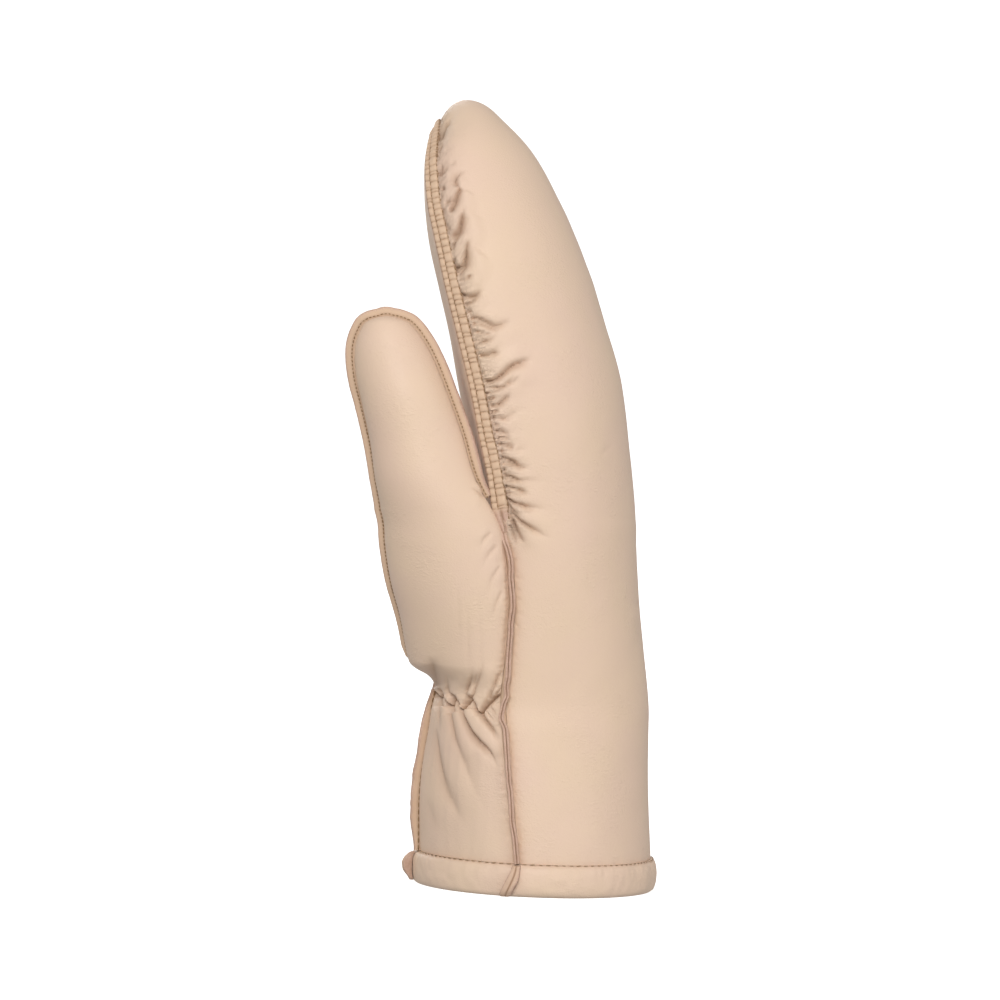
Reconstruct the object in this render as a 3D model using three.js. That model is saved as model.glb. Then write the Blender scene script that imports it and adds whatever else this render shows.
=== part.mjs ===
// A padded leather mitten for the right hand, standing on its hem. Millimetres, +Z up.
// +X is the back of the hand, -X the palm, -Y the thumb side, +Y the little finger side.
import * as THREE from "three";

// Heights above the surface that the mitten stands on
const mittenLength = 274;
const hemHeight = 11;
const wristHeight = 66;
const crotchHeight = 129.5;
const thumbHeight = 195.6;
const tipWrap = 12.5; // how far the back leather wraps over the fingertips, above the palm leather

// Widths, depths and swells
const handWidth = 100;
const handDepth = 54; // from the finger seam to the back of the hand
const palmSwell = 35; // from the side seams to the palm at the hem
const tipReach = 45; // how far the fingertips lean to the palm side
const thumbSpread = 51; // from the thumb crotch to the thumb's outer edge
const thumbSwell = 16;

// Leather, seams and clearances
const wall = 3;
const pieceGap = 0.35;
const weltThickness = 1.6;
const weltHeight = 2.8;
const weltRoot = 0.6; // how deep a welt stands in its slot
const stripWidth = 4.2;
const stripThickness = 1.3;
const stripRise = 0.7; // how far the ribbed strip stands proud of the leather
const ribPitch = 5.2;
const ribHeight = 0.3;
const tipHump = 0.8; // how much higher the strip lies where it crosses the fingertips
const hemThickness = 6;
const hemProud = 1.9;
const hemFootWidth = 2.4;
const tabWidth = 3;
const tabThickness = 1.1;

// Gathers
const gatherDepth = 1.7;
const seamFoldDepth = 1.5;
const elasticWidth = 5;

const halfWidth = handWidth / 2;
const archHeight = mittenLength - tipWrap;
const slot = weltThickness / 2 + pieceGap; // half the slot that a welt stands in
const closeSlot = 0.7 * pieceGap; // half the gap where no welt stands
const crotchEase = 0.9; // how much further the palm leather stays from the thumb at the crotch
const stripStartPlace = 1.9; // where the ribbed strip begins, just below the crotch
const thumbEndPlace = 2.985; // where the leathers of the thumb end below its welt
const thumbWeltPlace = 1.18; // where the thumb's own welt begins, just above the wrist
const thumbWeltEnd = 2.14; // where it ends again, just above the crotch
const thumbTipArch = 0.3; // height of the thumb's round end, as a share of its width there
const thumbRise = thumbHeight - crotchHeight;
const outerSeamAngle = 100; // where the seam between palm and thumb leather lies round the cuff, in degrees
const cornerAngle = 46; // how far the finger seam's corner turns toward the palm, in degrees
const elasticShare = 0.35; // share of gatherDepth that the elastic draws in all round
const edgeShare = 0.05; // share of a row beside a seam that the gathers leave smooth

// Rows of numbers as objects with named columns
function table(names, rows) {
  const columns = names.split(" ");
  return rows.map((row) => Object.fromEntries(columns.map((name, i) => [name, row[i]])));
}

// The hand without its thumb. Position 0 is the hem, 1 the wrist, 2 the thumb crotch and 3 the palm's top.
// height: share of the stretch; seam: share of tipReach; depth: share of handDepth; lean: the section's tilt;
// width: share of half the hand width, at the seam; tuck: how far the back wraps round, in degrees;
// swell: share of palmSwell; palmTuck: how far the palm wraps round, in degrees.
const handRows = table("at height seam depth lean width tuck swell palmTuck", [
  [0, 0, 0.11, 0.88, 0, 0.95, 8, 1, 8],
  [0.4, 0.4, 0.18, 0.905, 0, 0.93, 9, 0.92, 9],
  [0.8, 0.8, 0.24, 0.933, 0, 0.895, 10, 0.77, 10],
  [1, 1, 0.265, 0.944, 0, 0.875, 10, 0.7, 11],
  [1.3, 1.3, 0.235, 0.875, 0, 0.9, 11, 0.55, 12],
  [1.6, 1.6, 0.235, 0.825, 0, 0.925, 13, 0.4, 14],
  [1.85, 1.85, 0.29, 0.845, 0, 0.935, 16, 0.27, 16],
  [2, 2, 0.365, 0.895, 0, 0.936, 18, 0.15, 18],
  [2.13, 2.155, 0.5, 0.955, 2, 0.933, 21, 0.11, 20],
  [2.264, 2.314, 0.61, 0.976, 5.5, 0.926, 22, 0.11, 20],
  [2.384, 2.458, 0.7, 0.925, 10.5, 0.912, 22, 0.11, 20],
  [2.492, 2.587, 0.79, 0.872, 19, 0.88, 22, 0.13, 20],
  [2.587, 2.701, 0.865, 0.796, 25, 0.83, 21, 0.145, 20],
  [2.676, 2.799, 0.922, 0.704, 31, 0.74, 20, 0.13, 20],
  [2.752, 2.879, 0.955, 0.593, 37, 0.63, 18, 0.11, 20],
  [2.829, 2.932, 0.973, 0.486, 47, 0.476, 16, 0.085, 20],
  [2.895, 2.968, 0.984, 0.363, 58, 0.32, 13, 0.063, 20],
  [2.949, 2.989, 0.99, 0.21, 67, 0.19, 10, 0.04, 20],
  [3, 3, 0.995, 0.045, 72, 0.07, 8, 0.015, 20],
]);

// The thumb. Position 1 is the wrist, 2 the crotch and 3 the thumb's tip.
// outer, outerSide, outerRise: its outer edge, as shares of thumbSpread, halfWidth and thumbRise;
// inner, innerSide, innerRise: its inner edge, above the crotch; front, rear: swells as shares of thumbSwell.
const thumbRows = table("at outer outerSide outerRise inner innerSide innerRise front rear", [
  [1, 0.5, 0.16, 0, 0, 0.93, 0, 0.5, 0],
  [1.17, 0.645, 0.25, 0, 0, 0.93, 0, 0.7, 0.03],
  [1.41, 0.735, 0.36, 0, 0, 0.93, 0, 0.88, 0.12],
  [1.62, 0.81, 0.44, 0, 0, 0.93, 0, 0.97, 0.3],
  [1.82, 0.82, 0.5, 0, 0, 0.93, 0, 1, 0.53],
  [2, 0.784, 0.54, 0, 0, 0.936, 0, 1, 0.5],
  [2.18, 0.825, 0.58, 0.159, 0.15, 0.925, 0.197, 1, 0.62],
  [2.38, 0.873, 0.62, 0.348, 0.218, 0.88, 0.409, 0.97, 0.74],
  [2.57, 0.941, 0.66, 0.538, 0.333, 0.85, 0.606, 0.91, 0.81],
  [2.75, 0.998, 0.7, 0.697, 0.451, 0.82, 0.78, 0.78, 0.72],
  [2.86, 1.012, 0.73, 0.84, 0.539, 0.8, 0.894, 0.62, 0.59],
  [2.94, 0.98, 0.76, 0.937, 0.637, 0.785, 0.967, 0.4, 0.37],
  [3, 0.9, 0.78, 0.985, 0.77, 0.78, 0.996, 0.1, 0.1],
]);
const thumbTuck = 15; // how far the thumb's leathers wrap round, in degrees
const thumbRootTuck = 45;

// Where the thumb's rear leather meets the palm, as an angle round the palm in degrees
const thumbRootRows = table("at angle", [
  [0, 100],
  [1, 100],
  [1.1, 92],
  [1.2, 93],
  [1.41, 99],
  [1.62, 109],
  [1.82, 130],
  [1.93, 148],
  [2, 162],
]);

// Folds that the wrist elastic draws into the thumb leather. across, foot and width: shares of the leather's
// width, at the elastic and at the fold's foot; down and up: shares of the cuff's height;
// depth: share of gatherDepth.
const wristFolds = table("across foot down up depth width", [
  [0.1, 0.14, 0.5, 0.16, 0.7, 0.045],
  [0.28, 0.42, 0.85, 0.26, 1, 0.06],
  [0.5, 0.74, 0.75, 0.22, 1, 0.065],
  [0.74, 0.97, 0.45, 0.38, 0.9, 0.06],
  [0.92, 1, 0.2, 0.2, 0.5, 0.04],
]);
// Folds of the palm leather at the elastic, as shares of its width, and how far they reach down and up,
// as shares of the cuff's height
const palmFoldShares = [0.12, 0.25, 0.4, 0.53, 0.68, 0.82];
const palmFoldWidth = 0.035;
const palmFoldDown = 0.6;
const palmFoldUp = 0.35;

// Folds that the gathered finger seam draws into the back leather. along: share of the finger seam from the
// crotch; reach and rise: shares of half the hand width, away from the seam and up it; bend: how late a fold
// turns up; depth: share of seamFoldDepth; width: share of half the hand width.
const seamFolds = table("along reach rise bend depth width", [
  [-0.09, 0.3, -0.26, 0.4, 0.5, 0.05],
  [-0.01, 0.5, -0.22, 0.35, 0.8, 0.055],
  [0.06, 0.85, -0.06, 0.6, 0.7, 0.05],
  [0.12, 0.6, -0.06, 0.9, 0.6, 0.05],
  [0.2, 0.3, -0.04, 0.5, 0.45, 0.045],
  [0.285, 0.65, 0.2, 0.2, 1, 0.06],
  [0.36, 0.3, 0.04, 0.5, 0.5, 0.045],
  [0.43, 0.42, -0.04, 0.5, 0.7, 0.06],
  [0.495, 0.22, 0.06, 0.3, 0.7, 0.05],
  [0.545, 0.17, 0.2, 0.1, 1, 0.055],
  [0.61, 0.17, 0.22, 0.1, 1, 0.055],
  [0.69, 0.16, 0.2, 0.1, 1, 0.055],
  [0.77, 0.2, 0.1, 0.3, 0.6, 0.05],
  [0.87, 0.2, 0.02, 0.4, 0.5, 0.05],
]);

const radians = THREE.MathUtils.degToRad;
const smooth = THREE.MathUtils.smoothstep;
const mix = THREE.MathUtils.lerp;
const up = new THREE.Vector3(0, 0, 1);
const towardPalm = new THREE.Vector3(-1, 0, 0);

// Every column of a table at one position, on a smooth curve through its rows.
function readRows(rows, at) {
  const last = rows.length - 1;
  let i = 0;
  while (i < last - 1 && rows[i + 1].at <= at) i++;
  const a = rows[i];
  const b = rows[i + 1];
  const span = b.at - a.at;
  const t = THREE.MathUtils.clamp((at - a.at) / span, 0, 1);
  const result = {};
  const slope = (k, column) => {
    const before = rows[Math.max(k - 1, 0)];
    const after = rows[Math.min(k + 1, last)];
    return (after[column] - before[column]) / (after.at - before.at);
  };
  for (const column of Object.keys(a)) {
    const m0 = slope(i, column) * span;
    const m1 = slope(i + 1, column) * span;
    const t2 = t * t;
    const t3 = t2 * t;
    const atStart = (2 * t3 - 3 * t2 + 1) * a[column] + (t3 - 2 * t2 + t) * m0;
    const atEnd = (3 * t2 - 2 * t3) * b[column] + (t3 - t2) * m1;
    result[column] = atStart + atEnd;
  }
  return result;
}

// The same, in straight steps, for a column that has a corner.
function readStraight(rows, at, column) {
  let i = 0;
  while (i < rows.length - 2 && rows[i + 1].at <= at) i++;
  const t = THREE.MathUtils.clamp((at - rows[i].at) / (rows[i + 1].at - rows[i].at), 0, 1);
  return mix(rows[i][column], rows[i + 1][column], t);
}

function heightAt(share) {
  if (share < 1) return mix(hemHeight + pieceGap, wristHeight, share);
  if (share < 2) return mix(wristHeight, crotchHeight, share - 1);
  return mix(crotchHeight, archHeight, share - 2);
}

// One section of the hand: its seam line, its tilt and its sizes in millimetres.
function handSection(at) {
  const row = readRows(handRows, at);
  const lean = radians(row.lean);
  return {
    seam: new THREE.Vector3(-row.seam * tipReach, 0, heightAt(row.height)),
    outward: new THREE.Vector3(Math.cos(lean), 0, Math.sin(lean)),
    depth: row.depth * handDepth,
    seamWidth: row.width * halfWidth,
    tuck: radians(row.tuck),
    swell: row.swell * palmSwell,
    palmTuck: radians(row.palmTuck),
  };
}

// The back leather: angle runs from -tuck at the thumb side, over the back, to 180 degrees + tuck.
function backPoint(section, angle) {
  const tuckRise = Math.sin(section.tuck);
  const rise = (section.depth * (Math.sin(angle) + tuckRise)) / (1 + tuckRise);
  const point = section.seam.clone().addScaledVector(section.outward, rise);
  point.y = (-section.seamWidth * Math.cos(angle)) / Math.cos(section.tuck);
  return point;
}

// The palm side: angle runs from palmTuck at the little finger side to 180 degrees - palmTuck.
function palmPoint(section, angle) {
  const tuckRise = Math.sin(section.palmTuck);
  const rise = (section.swell * (Math.sin(angle) - tuckRise)) / (1 - tuckRise);
  const point = section.seam.clone().addScaledVector(towardPalm, rise);
  point.y = (section.seamWidth * Math.cos(angle)) / Math.cos(section.palmTuck);
  return point;
}

// The two edges of the thumb at one position, and its swells.
function thumbSection(at) {
  const row = readRows(thumbRows, at);
  const hand = handSection(Math.min(at, 2));
  const base = hand.seam.clone();
  const outer = base.clone().add(new THREE.Vector3(-row.outer * thumbSpread, 0, row.outerRise * thumbRise));
  outer.y = -row.outerSide * halfWidth;
  const inner = base.clone().add(new THREE.Vector3(-row.inner * thumbSpread, 0, row.innerRise * thumbRise));
  inner.y = at <= 2 ? -hand.seamWidth : -row.innerSide * halfWidth;
  return { outer, inner, front: row.front * thumbSwell, rear: row.rear * thumbSwell };
}

// A swelling line from one edge to another. side 1 swells toward the thumb side, -1 away from it.
function swollenPoint(from, to, swell, side, share, tuckDegrees = thumbTuck) {
  const tuck = radians(tuckDegrees);
  const angle = mix(tuck, Math.PI - tuck, share);
  const point = from.clone().lerp(to, (1 - Math.cos(angle) / Math.cos(tuck)) / 2);
  const across = to.clone().sub(from).setZ(0).normalize();
  const rise = (swell * (Math.sin(angle) - Math.sin(tuck))) / (1 - Math.sin(tuck));
  point.x += across.y * side * rise;
  point.y -= across.x * side * rise;
  return point;
}

// How far the thumb has grown out of the hand, just above the wrist.
function thumbGrowth(at) {
  return smooth(at, 1, thumbWeltPlace);
}

function frontPoint(at, share) {
  const hand = handSection(Math.min(at, 2));
  const cuffAngle = mix(radians(outerSeamAngle), Math.PI - hand.palmTuck, share);
  const onCuff = palmPoint(hand, cuffAngle);
  if (at <= 1) return onCuff;
  const thumb = thumbSection(at);
  return onCuff.lerp(swollenPoint(thumb.outer, thumb.inner, thumb.front, 1, share), thumbGrowth(at));
}

function rearPoint(at, share) {
  const outer = frontPoint(at, 0);
  const thumb = thumbSection(at);
  const rootAngle = radians(readStraight(thumbRootRows, at, "angle"));
  const root = at < 2 ? palmPoint(handSection(at), rootAngle) : thumb.inner;
  const tuckDegrees = mix(thumbRootTuck, thumbTuck, smooth(at, 2, 2.4));
  return swollenPoint(outer, root, thumb.rear, -1, share, tuckDegrees);
}

function palmEdgeAngle(at, section) {
  if (at >= 2) return Math.PI - section.palmTuck;
  return Math.min(radians(readStraight(thumbRootRows, at, "angle")), Math.PI - section.palmTuck);
}

function palmLeatherPoint(at, share) {
  const section = handSection(at);
  return palmPoint(section, mix(section.palmTuck, palmEdgeAngle(at, section), share));
}

function backLeatherPoint(at, share) {
  const section = handSection(at);
  return backPoint(section, mix(-section.tuck, Math.PI + section.tuck, share));
}

// The finger seam's outward direction, on the corner between back and palm leather.
// side is -1 for the thumb side.
function cornerDirection(at, side) {
  const step = 0.01;
  const before = seamPoint(Math.max(at - step, 0), side);
  const after = seamPoint(Math.min(at + step, 3), side);
  const along = after.sub(before).normalize();
  const inPlane = along.cross(towardPalm).multiplyScalar(-side).normalize();
  const turn = radians(cornerAngle);
  return inPlane.multiplyScalar(Math.cos(turn)).addScaledVector(towardPalm, Math.sin(turn));
}

function seamPoint(at, side) {
  const section = handSection(at);
  const point = section.seam.clone();
  point.y = side * section.seamWidth;
  return point;
}

// A row of a leather, read off at distances from its first edge.
class Row {
  constructor(pointAt, at) {
    const samples = 72;
    this.points = Array.from({ length: samples + 1 }, (_, i) => pointAt(at, i / samples));
    this.lengths = [0];
    for (let i = 1; i <= samples; i++)
      this.lengths.push(this.lengths[i - 1] + this.points[i].distanceTo(this.points[i - 1]));
    this.length = this.lengths[samples];
  }
  pointAt(distance) {
    let i = 0;
    while (i < this.points.length - 2 && this.lengths[i + 1] < distance) i++;
    const t = (distance - this.lengths[i]) / (this.lengths[i + 1] - this.lengths[i]);
    return this.points[i].clone().lerp(this.points[i + 1], t);
  }
}

// A closed leather solid from a grid of outer points and a coarser grid of inner points.
function closedShell(outer, inner, rowsKept, columnsKept) {
  const rows = outer.length - 1;
  const columns = outer[0].length - 1;
  const positions = [];
  const triangles = [];
  const outerIndex = outer.map((line) => line.map((p) => positions.push(p.x, p.y, p.z) / 3 - 1));
  const innerIndex = rowsKept.map((i) =>
    columnsKept.map((j) => positions.push(inner[i][j].x, inner[i][j].y, inner[i][j].z) / 3 - 1),
  );
  gridTriangles(triangles, outerIndex, false);
  gridTriangles(triangles, innerIndex, true);
  const lastRow = rowsKept.length - 1;
  const lastColumn = columnsKept.length - 1;
  joinEdges(triangles, outerIndex[0], innerIndex[0], range(columns + 1), columnsKept, false);
  joinEdges(triangles, outerIndex[rows], innerIndex[lastRow], range(columns + 1), columnsKept, true);
  const column = (grid, j) => grid.map((line) => line[j]);
  const rowPlaces = range(rows + 1);
  const lastInner = column(innerIndex, lastColumn);
  joinEdges(triangles, column(outerIndex, 0), column(innerIndex, 0), rowPlaces, rowsKept, true);
  joinEdges(triangles, column(outerIndex, columns), lastInner, rowPlaces, rowsKept, false);
  return solidGeometry(positions, triangles);
}

// Two triangles for each cell of a grid of vertices
function gridTriangles(triangles, grid, turned) {
  for (let i = 0; i < grid.length - 1; i++)
    for (let j = 0; j < grid[i].length - 1; j++) {
      const a = grid[i][j];
      const b = grid[i][j + 1];
      const c = grid[i + 1][j + 1];
      const d = grid[i + 1][j];
      if (turned) triangles.push(a, c, b, a, d, c);
      else triangles.push(a, b, c, a, c, d);
    }
}

function range(count) {
  return Array.from({ length: count }, (_, i) => i);
}

// The rim between a fine edge and a coarse one. The lists of places say where the vertices lie along them.
function joinEdges(triangles, fine, coarse, finePlaces, coarsePlaces, turned) {
  let i = 0;
  let j = 0;
  const add = (a, b, c) => (turned ? triangles.push(a, b, c) : triangles.push(a, c, b));
  while (i < fine.length - 1 || j < coarse.length - 1) {
    const nextCoarse = j < coarse.length - 1 ? coarsePlaces[j + 1] : Infinity;
    if (i < fine.length - 1 && finePlaces[i + 1] <= nextCoarse) {
      add(fine[i], fine[i + 1], coarse[j]);
      i++;
    } else {
      add(fine[i], coarse[j + 1], coarse[j]);
      j++;
    }
  }
}

function solidGeometry(positions, triangles) {
  let volume = 0;
  const corner = (k) => new THREE.Vector3().fromArray(positions, 3 * k);
  for (let i = 0; i < triangles.length; i += 3)
    volume += corner(triangles[i]).dot(corner(triangles[i + 1]).cross(corner(triangles[i + 2])));
  if (volume < 0)
    for (let i = 0; i < triangles.length; i += 3)
      [triangles[i + 1], triangles[i + 2]] = [triangles[i + 2], triangles[i + 1]];
  const geometry = new THREE.BufferGeometry();
  geometry.setAttribute("position", new THREE.Float32BufferAttribute(positions, 3));
  geometry.setIndex(triangles);
  return geometry;
}

// Outward directions over a grid of points. sign turns them outwards.
function gridNormals(grid, sign) {
  return grid.map((line, i) =>
    line.map((_, j) => {
      const along = grid[Math.min(i + 1, grid.length - 1)][j].clone().sub(grid[Math.max(i - 1, 0)][j]);
      const across = line[Math.min(j + 1, line.length - 1)].clone().sub(line[Math.max(j - 1, 0)]);
      return across.cross(along).multiplyScalar(sign).normalize();
    }),
  );
}

// A leather between two edges. places: row positions; columns: shares of a row, as a function of its length;
// relief: how far the outer face is pushed out; firstEdge, lastEdge: directions that the edges share;
// firstMargin, lastMargin: how far the leather stays from its seams.
function leather(design) {
  const { pointAt, places, columns, relief, sign, firstEdge, lastEdge, firstMargin, lastMargin } = design;
  const rows = places.map((at) => new Row(pointAt, at));
  const distances = rows.map((row, i) =>
    columns(row.length).map((d) => mix(firstMargin(places[i]), row.length - lastMargin(places[i]), d)),
  );
  const base = rows.map((row, i) => distances[i].map((d) => row.pointAt(d)));
  const normals = gridNormals(base, sign);
  const blendWidth = 2 * wall;
  const leastSlant = 0.6;
  const directions = base.map((line, i) =>
    line.map((_, j) => {
      const direction = normals[i][j].clone();
      const fromFirst = distances[i][j] - firstMargin(places[i]);
      const fromLast = rows[i].length - lastMargin(places[i]) - distances[i][j];
      const reach = Math.min(blendWidth, rows[i].length / 2);
      const first = firstEdge(places[i]);
      const last = lastEdge(places[i]);
      if (first) direction.lerp(first, 1 - smooth(fromFirst, 0, reach)).normalize();
      if (last) direction.lerp(last, 1 - smooth(fromLast, 0, reach)).normalize();
      return direction;
    }),
  );
  const inner = base.map((line, i) =>
    line.map((point, j) => point.clone().addScaledVector(directions[i][j], -wall)),
  );
  const outer = base.map((line, i) =>
    line.map((point, j) => {
      const direction = directions[i][j];
      const rise = relief(places[i], distances[i][j], rows[i].length, point);
      const slant = Math.max(direction.dot(normals[i][j]), leastSlant);
      return point.clone().addScaledVector(direction, rise / slant);
    }),
  );
  const kept = (count) => range(count).filter((k) => k % 2 === 0 || k === count - 1);
  return closedShell(outer, inner, kept(base.length), kept(base[0].length));
}

// A welt: a fin of two leather edges, standing in the slot between two leathers.
function weltGeometry(places, pointAt, outwardAt, heightShareAt, thickness = weltThickness) {
  const half = thickness / 2;
  const shoulder = 0.8; // where the welt's edge begins to round off
  const top = 0.55; // how wide its top stays
  const rings = places.map((at, k) => {
    const before = pointAt(places[Math.max(k - 1, 0)]);
    const after = pointAt(places[Math.min(k + 1, places.length - 1)]);
    const along = after.sub(before).normalize();
    const outward = outwardAt(at);
    outward.addScaledVector(along, -outward.dot(along)).normalize();
    const side = along.cross(outward);
    const height = weltHeight * heightShareAt(at);
    const profile = [
      [-half, -weltRoot],
      [-half, height * shoulder],
      [-half * top, height],
      [half * top, height],
      [half, height * shoulder],
      [half, -weltRoot],
    ];
    return profile.map(([s, o]) => pointAt(at).addScaledVector(side, s).addScaledVector(outward, o));
  });
  return sweptSolid(rings, false);
}

// A solid through rings of points. A looped one joins its last ring to its first.
function sweptSolid(rings, looped) {
  const count = rings[0].length;
  const positions = rings.flat().flatMap((p) => [p.x, p.y, p.z]);
  const triangles = [];
  const steps = looped ? rings.length : rings.length - 1;
  for (let i = 0; i < steps; i++)
    for (let j = 0; j < count; j++) {
      const a = i * count + j;
      const b = i * count + ((j + 1) % count);
      const c = ((i + 1) % rings.length) * count + ((j + 1) % count);
      const d = ((i + 1) % rings.length) * count + j;
      triangles.push(a, b, c, a, c, d);
    }
  const end = (rings.length - 1) * count;
  if (!looped)
    for (let j = 1; j < count - 1; j++) {
      triangles.push(0, j + 1, j);
      triangles.push(end, end + j, end + j + 1);
    }
  return solidGeometry(positions, triangles);
}

function evenPlaces(from, to, count) {
  return range(count + 1).map((i) => mix(from, to, i / count));
}

// A point on the bent line of a fold
function foldPoint(fold, q) {
  const bend = (a, b, c) => (1 - q) * (1 - q) * a + 2 * q * (1 - q) * b + q * q * c;
  return [0, 1].map((k) => bend(fold.start[k], fold.middle[k], fold.end[k]));
}

// How deep a set of folds presses at a point. Each fold is a bent line of small hollows.
function foldDepth(x, y, folds) {
  const steps = 12;
  const fadeShare = 0.7; // share of a fold's length over which it dies out
  let depth = 0;
  for (const fold of folds) {
    let nearest = Infinity;
    let nearestShare = 0;
    for (let k = 0; k <= steps; k++) {
      const q = k / steps;
      const [lineX, lineY] = foldPoint(fold, q);
      const distance = Math.hypot(x - lineX, y - lineY);
      if (distance < nearest) {
        nearest = distance;
        nearestShare = q;
      }
    }
    const fade = smooth(1 - nearestShare, 0, fadeShare);
    depth = Math.max(depth, fold.depth * fade * Math.exp(-((nearest / fold.width) ** 2)));
  }
  return depth;
}

const stripEdge = closeSlot + pieceGap; // from the seam line to the strip
const recessWidth = stripEdge + stripWidth + pieceGap;
const recessSlope = 1.4; // how far the recess under the strip takes to rise to the leather's face
const stripFade = 0.06; // how far below its start the recess under the strip begins
const fingerSeamLength = lineLength(evenPlaces(2, 3, 60).map((at) => seamPoint(at, 1)));
const seamFoldLines = seamFolds.map((fold) => {
  const start = [recessWidth, fold.along * fingerSeamLength];
  const end = [recessWidth + fold.reach * halfWidth, start[1] + fold.rise * halfWidth];
  const middle = [end[0], start[1] + fold.rise * halfWidth * fold.bend];
  return { start, middle, end, depth: fold.depth * seamFoldDepth, width: fold.width * halfWidth };
});

// The finger seam from the thumb side over the fingertips to the other side, as points on its line
const seamPlaces = evenPlaces(stripStartPlace, 3, 90);
const seamLine = [
  ...seamPlaces.map((at) => seamPoint(at, -1)),
  ...seamPlaces.map((at) => seamPoint(at, 1)).reverse(),
];

function lineLength(points) {
  return points.slice(1).reduce((total, point, i) => total + point.distanceTo(points[i]), 0);
}

function distanceToSeam(point) {
  return Math.min(...seamLine.map((p) => p.distanceTo(point)));
}

function backRelief(at, distance, length, point) {
  const besideSeam = Math.min(distance, length - distance);
  const nearest = at > 2.8 ? distanceToSeam(point) : besideSeam;
  const along = (at - 2) * fingerSeamLength;
  const clear = smooth(nearest, recessWidth, recessWidth + recessSlope);
  const onStrip = smooth(at, stripStartPlace - stripFade, stripStartPlace - stripFade / 3) * (1 - clear);
  const recess = (stripThickness - stripRise + pieceGap) * onStrip;
  return -recess - clear * foldDepth(besideSeam, along, seamFoldLines);
}

function elasticPinch(at) {
  const offset = ((at - 1) * (crotchHeight - wristHeight)) / elasticWidth;
  return Math.exp(-offset * offset);
}

function frontRelief(at, distance, length) {
  const share = distance / length;
  const cuffHeight = wristHeight - hemHeight;
  const rise = at < 1 ? (at - 1) * cuffHeight : (at - 1) * (crotchHeight - wristHeight);
  let depth = elasticShare * gatherDepth * elasticPinch(at);
  for (const fold of wristFolds) {
    const below = Math.max(-rise, 0) / (fold.down * cuffHeight);
    const above = Math.max(rise, 0) / (fold.up * cuffHeight);
    const centre = fold.across + (fold.foot - fold.across) * below;
    const width = fold.width * (1 + below);
    const fade = 1 - smooth(Math.max(below, above), 0, 1);
    depth += fold.depth * gatherDepth * fade * Math.exp(-(((share - centre) / width) ** 2));
  }
  return -depth * clearOfEdges(share);
}

function palmRelief(at, distance, length) {
  const share = distance / length;
  const fromElastic = at < 1 ? (1 - at) / palmFoldDown : (at - 1) / palmFoldUp;
  const fade = 1 - smooth(fromElastic, 0, 1);
  let depth = elasticShare * elasticPinch(at);
  for (const centre of palmFoldShares) depth += fade * Math.exp(-(((share - centre) / palmFoldWidth) ** 2));
  return -depth * gatherDepth * clearOfEdges(share);
}

function clearOfEdges(share) {
  return smooth(share, 0, edgeShare) * smooth(1 - share, 0, edgeShare);
}

// Half the gap between the leathers on either side of the hand's own seam
function seamMargin(at) {
  return mix(slot, closeSlot, smooth(at, stripStartPlace - stripFade, stripStartPlace));
}

// Rows for a leather that runs from the hem to the fingertips
const cuffPlaces = evenPlaces(0, 1, 6).slice(0, -1);
const thumbZonePlaces = evenPlaces(1, 2, 10).slice(0, -1);
const thumbRootPlaces = [...evenPlaces(1.1, 1.82, 7), 1.88, 1.93, 1.97];
const thumbPlaces = evenPlaces(2.03, thumbEndPlace, 15);
const cornerStart = stripStartPlace - 0.15; // from here up, leathers share the finger seam's corner

// Columns close together beside the seams, as shares of a row
const besideSeamShares = [0, 0.025, 0.046, 0.07, 0.1, 0.13, 0.165, 0.21, 0.27, 0.34, 0.42];
const shortRowShares = [0, 0.04, 0.08, 0.12, 0.165, 0.21, 0.255, 0.3, 0.35, 0.4, 0.45];

function backColumns(length) {
  const short = smooth(-length, -2.4 * halfWidth, -halfWidth);
  const half = besideSeamShares.map((share, i) => mix(share, shortRowShares[i], short));
  return [...half, 0.5, ...half.map((share) => 1 - share).reverse()];
}

function backLeather() {
  return leather({
    pointAt: backLeatherPoint,
    places: [...cuffPlaces, ...thumbZonePlaces, ...evenPlaces(2, 3, 36)],
    columns: backColumns,
    relief: backRelief,
    sign: 1,
    firstEdge: (at) => (at >= 2 ? cornerDirection(at, -1) : null),
    lastEdge: (at) => (at > cornerStart ? cornerDirection(at, 1) : null),
    firstMargin: seamMargin,
    lastMargin: seamMargin,
  });
}

function palmLeather() {
  const besideThumb = (at) => slot + crotchEase * smooth(at, 1.7, 1.85);
  return leather({
    pointAt: palmLeatherPoint,
    places: [...cuffPlaces, 1, ...thumbRootPlaces, ...evenPlaces(2, 3, 18)],
    columns: () => evenPlaces(0, 1, 16),
    relief: palmRelief,
    sign: 1,
    firstEdge: (at) => (at > cornerStart ? cornerDirection(at, 1) : null),
    lastEdge: (at) => (at >= 2 ? cornerDirection(at, -1) : null),
    firstMargin: seamMargin,
    lastMargin: (at) => mix(besideThumb(at), closeSlot, smooth(at, 2, 2.1)),
  });
}

// Away from the thumb's other edge. side is 1 at the outer edge and -1 at the inner one.
function thumbOutward(at, side) {
  const { outer, inner } = thumbSection(at);
  return outer.sub(inner).multiplyScalar(side).normalize();
}

function thumbFrontLeather() {
  const gatherPlaces = [0.88, 0.94, 1, 1.06];
  return leather({
    pointAt: frontPoint,
    places: [...evenPlaces(0, 0.8, 6), ...gatherPlaces, ...evenPlaces(1.12, 1.96, 8), ...thumbPlaces],
    columns: () => evenPlaces(0, 1, 22),
    relief: frontRelief,
    sign: 1,
    firstEdge: (at) => (at >= thumbWeltPlace ? thumbOutward(at, 1) : null),
    lastEdge: (at) => (at > 2 ? thumbOutward(at, -1) : null),
    firstMargin: () => slot,
    lastMargin: (at) => (at > 2 ? slot : seamMargin(at)),
  });
}

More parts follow.
